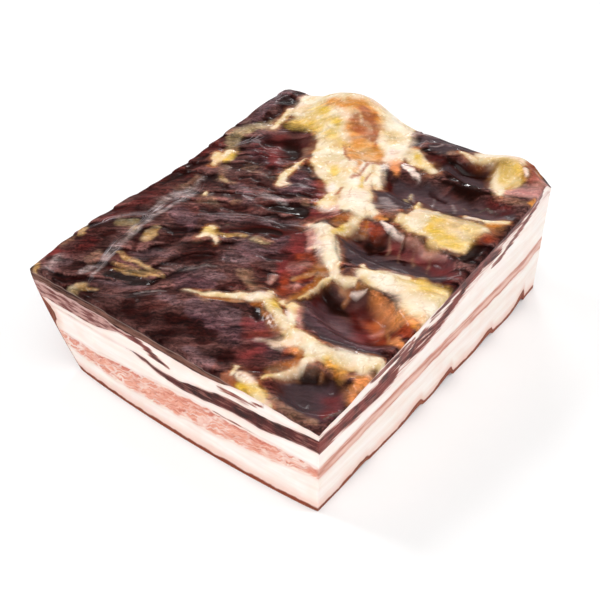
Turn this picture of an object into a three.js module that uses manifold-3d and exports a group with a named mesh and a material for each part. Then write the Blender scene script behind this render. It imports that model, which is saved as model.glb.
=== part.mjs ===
// Flat pancetta: a block cut from a side of cured pork belly, with the rind left on underneath.
// Lean and fat lie in sheets that run through the whole block, so each sheet is its own solid.
// Millimetres, +Z up. The origin is on the resting face, below the middle of the block.
// -Y is the cut front, +X the cut side where the ribs ended, -X the rounded edge of the belly.

import * as THREE from "three";
import { mergeVertices } from "three/addons/utils/BufferGeometryUtils.js";
import Module from "manifold-3d";

const { lerp, clamp, degToRad } = THREE.MathUtils;
const wasm = await Module();
wasm.setup();

// Overall size
const WIDTH = 146.6;
const DEPTH = 173.2;
const TOP_AT = { frontLeft: 43.5, frontRight: 38.5, backLeft: 61, backRight: 58 };
const LEFT = -WIDTH / 2;
const RIGHT = WIDTH / 2;
const FRONT = -DEPTH / 2;
const BACK = DEPTH / 2;

// Sides: the front bellies out at its foot, the left edge runs in under the block
const FRONT_SETBACK = 3.2;
const FRONT_FULLNESS = 0.7;
const UNDERCUT = 22;
const UNDERCUT_HEIGHT = 40;
const UNDERCUT_CURVE = 1.3;
const LEFT_EDGE_DROP = 1;
const LEFT_EDGE_ROUND = 8;
const LEFT_ROLL = { rise: 1.6, pitch: 115, crest: -49, reach: 35 };
const BACK_EDGE_DROP = 2;
const BACK_EDGE_ROUND = 7;
const BACK_SWELL = { rise: 2, across: [-30, 10], along: [38, BACK] };
const CORNER_DROP = { depth: 4.5, reach: 10 };
const CORNER_CHAMFER = { depth: 1.5, across: [44, RIGHT], along: [62, BACK] };

// Top: a hump and a knob of fat at the back, a sunk patch, hollows where the ribs were, fat seams between
const HUMP = { x: -29, y: 81, length: 66, width: 60, turn: -20, rise: 11 };
const KNOB = { x: 57, y: 85, length: 44, width: 34, turn: 0, rise: 4.5 };
const SUNK_PATCH = { x: -40, y: 45, length: 40, width: 30, turn: 20, depth: 3 };
const RIB_HOLLOWS = [
  { x: 60, y: -69, length: 36, width: 23, turn: 8, depth: 4 },
  { x: 50, y: -30, length: 50, width: 29, turn: -8, depth: 5 },
  { x: 43, y: 9, length: 58, width: 25, turn: 5, depth: 4.5 },
  { x: 40, y: 48, length: 66, width: 23, turn: 8, depth: 2.5 },
  { x: 46, y: 71, length: 40, width: 19, turn: 5, depth: 4 },
];
const HOLLOW_WALL = 0.55;
const HOLLOW_AT_CUT = 0.25;
const HOLLOW_FADE = 14;
const FAT_SEAMS = [
  { width: 17, rise: 2.2, path: [[-10, 49], [6, 29], [14, 19], [10, 5], [22, -10]] },
  { width: 13, rise: 2.2, path: [[14, 21], [36, 30], [66, 36]] },
  { width: 12, rise: 2.0, path: [[22, -10], [34, -14], [50, -9], [72, -9]] },
  { width: 12, rise: 2.0, path: [[16, -44], [32, -52], [48, -53], [72, -47]] },
];

// Rind: along the right-hand cut it lifts off the table slowly and drops back in a step, once for each scallop
const SCALLOPS = [
  { y: -54, rise: 1 },
  { y: -16, rise: 1.6 },
  { y: 7, rise: 2.4 },
  { y: 41, rise: 2 },
  { y: 72, rise: 3.2 },
];
const SCALLOP_LIFT = 16;
const SCALLOP_DROP = 3;
const SCALLOP_REACH = 12;

// Sheets of lean: how thick each is, where it lies, and between which places each change happens
const TOP_LEAN = { belly: 12.5, middle: 5, ribs: 4.5, atCut: 1.4 };
const TOP_LEAN_PLACES = { thins: [-42, -8], ribs: [20, 42], rightCut: [58, 70], frontCut: [-66, -78] };
const MIDDLE_LEAN = { floor: 26, tipRise: 2.3, dip: 2, cutRise: 3, climb: 23, thick: 6, backShare: 0.35 };
const MIDDLE_LEAN_PLACES = {
  tip: -17,
  tipFalls: [-19, 0],
  dips: [-8, 28],
  rises: [45, RIGHT],
  thickens: [-32, 40],
  climbs: [-52, BACK],
  thins: [9, 52],
};
const LOWER_LEAN = { roof: 21.8, dip: 4.8, climb: 7, thick: 5.5, swell: 5.5, fullness: 0.8 };
const LOWER_LEAN_PLACES = { rises: [-55, 25], swells: [-60, 70] };
const LEAST_FAT = 1.8;
const GAP = 0.3;

// Facets along X, Y and Z
const BLOCK_FACETS = [30, 36, 4];
const SHEET_FACETS = [14, 16, 1];
const OVERSIZE = 10;
const SKY = 95;

// A smooth change from 0 to 1 between two places, and a smooth swell from 0 to 1 and back.
const ramp = (place, [from, to]) => {
  const share = clamp((place - from) / (to - from), 0, 1);
  return share * share * (3 - 2 * share);
};
const arch = (place, [from, to]) => Math.sin(Math.PI * clamp((place - from) / (to - from), 0, 1));

// 1 inside an ellipse on the top face, falling smoothly to 0 at its rim; wall is the falling share.
function ellipse({ x, y, length, width, turn }, px, py, wall = 1) {
  const angle = degToRad(turn);
  const dx = px - x;
  const dy = py - y;
  const u = (dx * Math.cos(angle) + dy * Math.sin(angle)) / (length / 2);
  const v = (dy * Math.cos(angle) - dx * Math.sin(angle)) / (width / 2);
  return ramp(1 - Math.hypot(u, v), [0, wall]);
}

// 1 on the line of a seam, falling smoothly to 0 at half its width.
function seam({ width, path }, px, py) {
  const point = new THREE.Vector3(px, py, 0);
  const nearest = new THREE.Vector3();
  let distance = Infinity;
  for (let i = 1; i < path.length; i++) {
    const [from, to] = [path[i - 1], path[i]].map(([x, y]) => new THREE.Vector3(x, y, 0));
    new THREE.Line3(from, to).closestPointToPoint(point, true, nearest);
    distance = Math.min(distance, nearest.distanceTo(point));
  }
  return ramp(1 - distance / (width / 2), [0, 1]);
}

// The top face without its hollows and seams: it rolls along the left edge and swells at the back.
function smoothTop(x, y) {
  const u = clamp((x - LEFT) / WIDTH, 0, 1);
  const v = clamp((y - FRONT) / DEPTH, 0, 1);
  const front = lerp(TOP_AT.frontLeft, TOP_AT.frontRight, u);
  const back = lerp(TOP_AT.backLeft, TOP_AT.backRight, u);
  const wave = Math.cos((2 * Math.PI * (y - LEFT_ROLL.crest)) / LEFT_ROLL.pitch);
  const nearRight = ramp(x, [RIGHT - CORNER_DROP.reach, RIGHT]);
  const nearBack = ramp(y, [BACK - CORNER_DROP.reach, BACK]);
  return (
    lerp(front, back, v) +
    LEFT_ROLL.rise * wave * ramp(x, [LEFT + LEFT_ROLL.reach, LEFT]) +
    BACK_SWELL.rise * ramp(x, BACK_SWELL.across) * ramp(y, BACK_SWELL.along) +
    HUMP.rise * ellipse(HUMP, x, y) +
    KNOB.rise * ellipse(KNOB, x, y) -
    LEFT_EDGE_DROP * ramp(x, [LEFT + LEFT_EDGE_ROUND, LEFT]) -
    BACK_EDGE_DROP * ramp(y, [BACK - BACK_EDGE_ROUND, BACK]) -
    CORNER_DROP.depth * nearRight * nearBack
  );
}

// How far the hollows sink the top face; they run out towards the cut on the right.
function sunk(x, y) {
  const fade = lerp(1, HOLLOW_AT_CUT, ramp(x, [RIGHT - HOLLOW_FADE, RIGHT]));
  const ribs = RIB_HOLLOWS.map((hollow) => fade * hollow.depth * ellipse(hollow, x, y, HOLLOW_WALL));
  return Math.max(SUNK_PATCH.depth * ellipse(SUNK_PATCH, x, y), ...ribs);
}

const topFace = (x, y) =>
  smoothTop(x, y) - sunk(x, y) + Math.max(...FAT_SEAMS.map((line) => line.rise * seam(line, x, y)));

// The rind: flat on the table, lifted in scallops along the right-hand cut.
function rindFace(x, y) {
  const lifts = SCALLOPS.map(
    ({ y: peak, rise }) => rise * ramp(y, [peak - SCALLOP_LIFT, peak]) * ramp(y, [peak + SCALLOP_DROP, peak]),
  );
  return ramp(x, [RIGHT - SCALLOP_REACH, RIGHT]) * Math.max(...lifts);
}

// The roofs and floors of the sheets of lean, from the top down.
function topLeanFloor(x, y) {
  const places = TOP_LEAN_PLACES;
  const belly = lerp(TOP_LEAN.belly, TOP_LEAN.middle, ramp(x, places.thins));
  const nearCut = Math.max(ramp(x, places.rightCut), ramp(y, places.frontCut));
  const ribs = lerp(TOP_LEAN.ribs, TOP_LEAN.atCut, nearCut);
  return smoothTop(x, y) - sunk(x, y) - lerp(belly, ribs, ramp(x, places.ribs));
}

function middleLeanThickness(x, y) {
  const backShare = lerp(1, MIDDLE_LEAN.backShare, ramp(y, MIDDLE_LEAN_PLACES.thins));
  return MIDDLE_LEAN.thick * ramp(x, MIDDLE_LEAN_PLACES.thickens) * backShare;
}

function middleLeanRoof(x, y) {
  const places = MIDDLE_LEAN_PLACES;
  const floor =
    MIDDLE_LEAN.floor +
    MIDDLE_LEAN.tipRise * (1 - ramp(x, places.tipFalls)) -
    MIDDLE_LEAN.dip * arch(x, places.dips) +
    MIDDLE_LEAN.cutRise * ramp(x, places.rises) +
    MIDDLE_LEAN.climb * ramp(y, places.climbs);
  return Math.min(floor + middleLeanThickness(x, y), topLeanFloor(x, y) - LEAST_FAT);
}

const middleLeanFloor = (x, y) => middleLeanRoof(x, y) - middleLeanThickness(x, y);

function lowerLeanRoof(x, y) {
  const front = LOWER_LEAN.roof - LOWER_LEAN.dip * (1 - ramp(x, LOWER_LEAN_PLACES.rises));
  const climb = (LOWER_LEAN.climb * (y - FRONT)) / DEPTH;
  return Math.min(front + climb, middleLeanFloor(x, y) - LEAST_FAT);
}

function lowerLeanFloor(x, y) {
  const swell = arch(x, LOWER_LEAN_PLACES.swells) ** LOWER_LEAN.fullness;
  return lowerLeanRoof(x, y) - LOWER_LEAN.thick - LOWER_LEAN.swell * swell;
}

// A closed solid from a box divided into facets, with every corner moved to where place puts it.
function solid(facets, place) {
  const box = new THREE.BoxGeometry(1, 1, 1, ...facets);
  box.deleteAttribute("normal");
  box.deleteAttribute("uv");
  const geometry = mergeVertices(box);
  const corners = geometry.getAttribute("position");
  for (let i = 0; i < corners.count; i++) {
    corners.setXYZ(i, ...place(corners.getX(i) + 0.5, corners.getY(i) + 0.5, corners.getZ(i) + 0.5));
  }
  const triVerts = new Uint32Array(geometry.index.array);
  return new wasm.Manifold(new wasm.Mesh({ numProp: 3, vertProperties: corners.array, triVerts }));
}

// The whole block. s, t and w run from 0 to 1 from left to right, front to back and rind to top.
function block() {
  return solid(BLOCK_FACETS, (s, t, w) => {
    const flatX = lerp(LEFT, RIGHT, s);
    const flatY = lerp(FRONT + FRONT_SETBACK, BACK, t);
    const z = lerp(rindFace(flatX, flatY), topFace(flatX, flatY), w);
    const low = clamp(1 - z / UNDERCUT_HEIGHT, 0, 1);
    const left = LEFT + UNDERCUT * low ** UNDERCUT_CURVE;
    const front = FRONT + FRONT_SETBACK * (1 - low * arch(s, [0, 1]) ** FRONT_FULLNESS);
    const { depth, across, along } = CORNER_CHAMFER;
    const chamfer = depth * ramp(flatX, across) * ramp(flatY, along);
    return [lerp(left, RIGHT - chamfer, s), lerp(front, BACK - chamfer, t), z];
  });
}

// All the space above a wavy face, wider than the block.
function above(face) {
  return solid(SHEET_FACETS, (s, t, w) => {
    const x = lerp(LEFT - OVERSIZE, RIGHT + OVERSIZE, s);
    const y = lerp(FRONT - OVERSIZE, BACK + OVERSIZE, t);
    return [x, y, lerp(face(x, y), SKY, w)];
  });
}

// All the space to the right of the place where the middle lean begins.
function rightOfTip() {
  return solid([1, 1, 1], (s, t, w) => [
    lerp(MIDDLE_LEAN_PLACES.tip, RIGHT + OVERSIZE, s),
    lerp(FRONT - OVERSIZE, BACK + OVERSIZE, t),
    lerp(-OVERSIZE, SKY, w),
  ]);
}

const over = (face) => (x, y) => face(x, y) + GAP / 2;
const under = (face) => (x, y) => face(x, y) - GAP / 2;

// Looks of the three tissues
const darkLean = { color: 0x4b2c2f, roughness: 0.35 };
const pinkLean = { color: 0xd98a78, roughness: 0.45 };
const fat = { color: 0xf6e6da, roughness: 0.4 };

const whole = block();
const SHEETS = [
  { name: "lean_top", look: darkLean, floor: topLeanFloor },
  { name: "fat_upper", look: fat, roof: topLeanFloor, floor: middleLeanRoof },
  { name: "lean_middle", look: darkLean, roof: middleLeanRoof, floor: middleLeanFloor, within: rightOfTip() },
  { name: "fat_middle", look: fat, roof: middleLeanFloor, floor: lowerLeanRoof },
  { name: "lean_lower", look: pinkLean, roof: lowerLeanRoof, floor: lowerLeanFloor },
  { name: "fat_lower", look: fat, roof: lowerLeanFloor },
];

// A named mesh of one sheet: the part of the block between the sheet's floor and its roof.
function sheetMesh({ name, look, roof, floor, within }) {
  let sheet = within ? whole.intersect(within) : whole;
  sheet = floor ? sheet.intersect(above(over(floor))) : sheet;
  sheet = roof ? sheet.subtract(above(under(roof))) : sheet;
  const { vertProperties, triVerts } = sheet.getMesh();
  const geometry = new THREE.BufferGeometry();
  geometry.setAttribute("position", new THREE.BufferAttribute(vertProperties, 3));
  geometry.setIndex(new THREE.BufferAttribute(triVerts, 1));
  geometry.computeVertexNormals();
  const mesh = new THREE.Mesh(geometry, new THREE.MeshStandardMaterial({ ...look, metalness: 0 }));
  mesh.name = name;
  return mesh;
}

const pancetta = new THREE.Group();
for (const sheet of SHEETS) {
  pancetta.add(sheetMesh(sheet));
}

export default pancetta;
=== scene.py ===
import math

import bmesh
import bpy
import numpy as np
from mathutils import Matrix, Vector, noise


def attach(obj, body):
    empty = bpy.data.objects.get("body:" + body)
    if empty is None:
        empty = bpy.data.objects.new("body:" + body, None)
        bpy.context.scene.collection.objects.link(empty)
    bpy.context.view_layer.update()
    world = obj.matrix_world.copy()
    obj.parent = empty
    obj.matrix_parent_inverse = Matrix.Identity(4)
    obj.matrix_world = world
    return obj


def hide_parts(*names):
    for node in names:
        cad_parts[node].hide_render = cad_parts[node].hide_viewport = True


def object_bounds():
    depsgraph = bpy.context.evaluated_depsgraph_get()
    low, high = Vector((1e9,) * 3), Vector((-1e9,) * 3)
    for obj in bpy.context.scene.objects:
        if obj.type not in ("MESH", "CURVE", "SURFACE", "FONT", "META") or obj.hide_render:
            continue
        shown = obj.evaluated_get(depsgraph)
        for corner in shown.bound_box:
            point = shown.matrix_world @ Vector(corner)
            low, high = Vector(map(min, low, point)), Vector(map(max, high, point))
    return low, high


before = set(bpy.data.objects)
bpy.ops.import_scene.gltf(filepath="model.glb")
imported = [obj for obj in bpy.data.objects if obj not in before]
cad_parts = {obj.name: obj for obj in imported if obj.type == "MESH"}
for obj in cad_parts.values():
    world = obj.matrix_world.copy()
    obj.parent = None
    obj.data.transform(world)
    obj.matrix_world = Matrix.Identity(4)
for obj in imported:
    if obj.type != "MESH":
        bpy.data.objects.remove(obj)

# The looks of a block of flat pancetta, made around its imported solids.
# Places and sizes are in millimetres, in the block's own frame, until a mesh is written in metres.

CAD_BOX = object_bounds()
MM = 0.001

# The block's size, read from the frame
LEFT, FRONT = CAD_BOX[0].x / MM, CAD_BOX[0].y / MM
RIGHT, BACK = CAD_BOX[1].x / MM, CAD_BOX[1].y / MM
WIDTH, DEPTH = RIGHT - LEFT, BACK - FRONT

# The form of the block, as the solids have it
TOP_AT = {"front_left": 43.5, "front_right": 38.5, "back_left": 61, "back_right": 58}
FRONT_SETBACK, FRONT_FULLNESS = 3.2, 0.7
UNDERCUT, UNDERCUT_HEIGHT, UNDERCUT_CURVE = 22, 40, 1.3
LEFT_EDGE_DROP, LEFT_EDGE_ROUND = 1, 8
LEFT_ROLL = {"rise": 1.6, "pitch": 115, "crest": -49, "reach": 35}
BACK_EDGE_DROP, BACK_EDGE_ROUND = 2, 7
BACK_SWELL = {"rise": 2, "across": (-30, 10), "along": (38, BACK)}
CORNER_DROP = {"depth": 4.5, "reach": 10}
CORNER_CHAMFER = {"depth": 1.5, "across": (44, RIGHT), "along": (62, BACK)}
HUMP = {"x": -29, "y": 81, "length": 66, "width": 60, "turn": -20, "rise": 11}
KNOB = {"x": 57, "y": 85, "length": 44, "width": 34, "turn": 0, "rise": 4.5}
SUNK_PATCH = {"x": -40, "y": 45, "length": 40, "width": 30, "turn": 20, "depth": 3}
RIB_HOLLOWS = [
    {"x": 60, "y": -69, "length": 36, "width": 23, "turn": 8, "depth": 4},
    {"x": 50, "y": -30, "length": 50, "width": 29, "turn": -8, "depth": 5},
    {"x": 43, "y": 9, "length": 58, "width": 25, "turn": 5, "depth": 4.5},
    {"x": 40, "y": 48, "length": 66, "width": 23, "turn": 8, "depth": 2.5},
    {"x": 46, "y": 71, "length": 40, "width": 19, "turn": 5, "depth": 4, "wall": 0.25},
]
HOLLOW_WALL, HOLLOW_AT_CUT, HOLLOW_FADE = 0.55, 0.25, 14
FAT_SEAMS = [
    {"width": 17, "rise": 2.2, "path": [(-10, 49), (6, 29), (14, 19), (10, 5), (22, -10)]},
    {"width": 13, "rise": 2.2, "path": [(14, 21), (36, 30), (66, 36)]},
    {"width": 12, "rise": 2.0, "path": [(22, -10), (34, -14), (50, -9), (72, -9)]},
    {"width": 12, "rise": 2.0, "path": [(16, -44), (32, -52), (48, -53), (72, -47)]},
]
SCALLOPS = {-54: 1, -16: 1.6, 7: 2.4, 41: 2, 72: 3.2}
SCALLOP_LIFT, SCALLOP_DROP, SCALLOP_REACH = 16, 3, 12
TOP_LEAN = {"belly": 12.5, "middle": 5, "ribs": 4.5, "at_cut": 1.4}
TOP_LEAN_PLACES = {"thins": (-42, -8), "ribs": (20, 42), "right_cut": (58, 70), "front_cut": (-66, -78)}
MIDDLE_LEAN = {
    "floor": 26,
    "tip_rise": 2.3,
    "dip": 2,
    "cut_rise": 3,
    "climb": 23,
    "thick": 6,
    "back_share": 0.35,
    "tip_share": 0.2,
}
MIDDLE_LEAN_PLACES = {
    "tapers": (-20, -8),
    "tip_falls": (-19, 0),
    "dips": (-8, 28),
    "rises": (45, RIGHT),
    "thickens": (-32, 40),
    "climbs": (-52, BACK),
    "thins": (9, 52),
}
LOWER_LEAN = {"roof": 21.8, "dip": 4.8, "climb": 7, "thick": 5.5, "swell": 5.5, "fullness": 0.8}
LOWER_LEAN_PLACES = {"rises": (-55, 25), "swells": (-60, 70)}
LEAST_FAT = 1.8

# The mesh: cells across and along, and the cell at which the middle lean begins
CELLS_ACROSS, CELLS_ALONG = 122, 144
TIP_CELL = 43
TIP_SHARE = TIP_CELL / CELLS_ACROSS
LEAST_SHEET = 0.25
RIM_ROUND = 0.9
# What counts as on an edge of the unit box, and as a sharp edge, in radians
AT_EDGE, SHARP_ANGLE = 1e-4, 1
# The sides lean, so a place shifts as its height is found: it settles in this many steps
SETTLE_STEPS = 3
# How far from a chain of places is as far as matters, in mm, and the least run between two places
FAR, LEAST_RUN = 12.0, 1e-9
# How far the noise shifts from one seed to the next
SEED_STEP = (13.7, 7.3, 3.1)

# Tissues of the dried top, some with painted sheen, highlights or shade in them, in the order in which they
# are
# laid over the lean. Of each: the colour seen on a screen, how much of it covers, how soft its edge is and
# how far it frays, in mm, how broken it is, how far it rises, in mm, how wet it is and how fat.
LOOKS = {
    # slate: dark lean of the hollow floors, greyed by a painted reflection of the bright surroundings
    "slate_sheen": ((70, 54, 57), 0.92, 1.8, 0.8, 0.05, -0.1, 0.1, 0),
    # plum: purple lean, partly a painted sheen on the hollow floors and lean bands
    "plum_and_sheen": ((84, 56, 61), 0.75, 2.2, 1.2, 0.35, 0, 0.1, 0),
    # mauve: pale lilac-grey bands, a painted sheen on the wet lean
    "mauve_sheen": ((114, 86, 88), 0.62, 2.6, 1.6, 0.5, 0.1, 0.2, 0),
    # haze: pale grey-mauve, partly pale skin strands and partly painted sheen
    "haze_and_sheen": ((165, 145, 143), 0.6, 2.6, 1.6, 0.6, 0.1, 0.2, 0.1),
    "maroon": ((80, 24, 22), 0.8, 3.6, 1.4, 0.25, 0, 0.1, 0),
    "wine": ((126, 46, 45), 0.72, 4.0, 1.4, 0.2, 0, 0.2, 0),
    "brown": ((140, 98, 78), 0.7, 2.4, 1.6, 0.6, 0.1, 0.1, 0.1),
    "olive": ((150, 128, 92), 0.75, 3.0, 1.4, 0.4, 0.1, 0.15, 0.3),
    # umber: dark red-brown lean, partly painted shade in the crevices between folds
    "umber_and_shade": ((36, 6, 4), 0.92, 1.6, 1.4, 0.2, -0.5, 0.05, 0),
    # pitch: near-black wet lean, partly painted shadow on the hollows' back walls under the fat
    "pitch": ((30, 7, 3), 0.95, 2.2, 0.8, 0.0, -0.7, 0.05, 0),
    "cream": ((222, 200, 159), 0.96, 1.5, 0.5, 0.0, 0.3, 0.2, 1),
    # white: whiter fat, partly a painted highlight, as on the hump's right shoulder
    "white": ((250, 242, 230), 0.65, 4.4, 0.5, 0.1, 0.4, 0.2, 1),
    "blush": ((240, 208, 200), 0.7, 3.4, 0.6, 0.2, 0.3, 0.3, 1),
    "beige": ((200, 170, 124), 0.7, 3.8, 0.7, 0.3, 0.2, 0.2, 0.6),
    "butter": ((220, 178, 58), 0.9, 4.6, 0.8, 0.15, 0.4, 0.2, 0.15),
    "honey": ((212, 132, 44), 0.94, 4.4, 0.9, 0.15, 0.2, 0.2, 0.1),
    "apricot": ((228, 138, 76), 0.82, 3.8, 1.0, 0.05, 0.1, 0.3, 0.1),
    "sienna": ((160, 82, 46), 0.92, 3.6, 0.9, 0.15, 0.1, 0.2, 0.1),
    # coral: dusky pink lean, partly painted rosy highlights
    "coral_and_highlight": ((206, 136, 130), 0.6, 3.4, 1.0, 0.1, 0.1, 0.45, 0.3),
    "rust": ((146, 54, 22), 0.8, 4.2, 1.0, 0.0, -0.1, 0.25, 0),
    "garnet": ((66, 12, 7), 0.88, 3.0, 1.0, 0.1, -0.2, 0.15, 0),
    "amber": ((156, 84, 22), 0.85, 2.4, 0.8, 0.0, -0.2, 0.45, 0.2),
    # tar: dark wet lean, partly painted shadow on the hollows' back walls under the fat lips
    "tar_and_shadow": ((26, 5, 2), 0.94, 2.0, 0.7, 0.0, -0.5, 0.08, 0),
    "ochre": ((172, 128, 72), 0.8, 1.4, 1.2, 0.65, 0.1, 0.1, 0.3),
    "pearl": ((248, 222, 210), 0.8, 1.8, 0.2, 0.0, 0.4, 0.7, 0.2),
    # crease: thin dark lines, painted shade in the creases along edges
    "crease_shade": ((44, 20, 15), 0.75, 0.7, 0.4, 0.3, -0.3, 0.1, 0.2),
}
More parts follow.
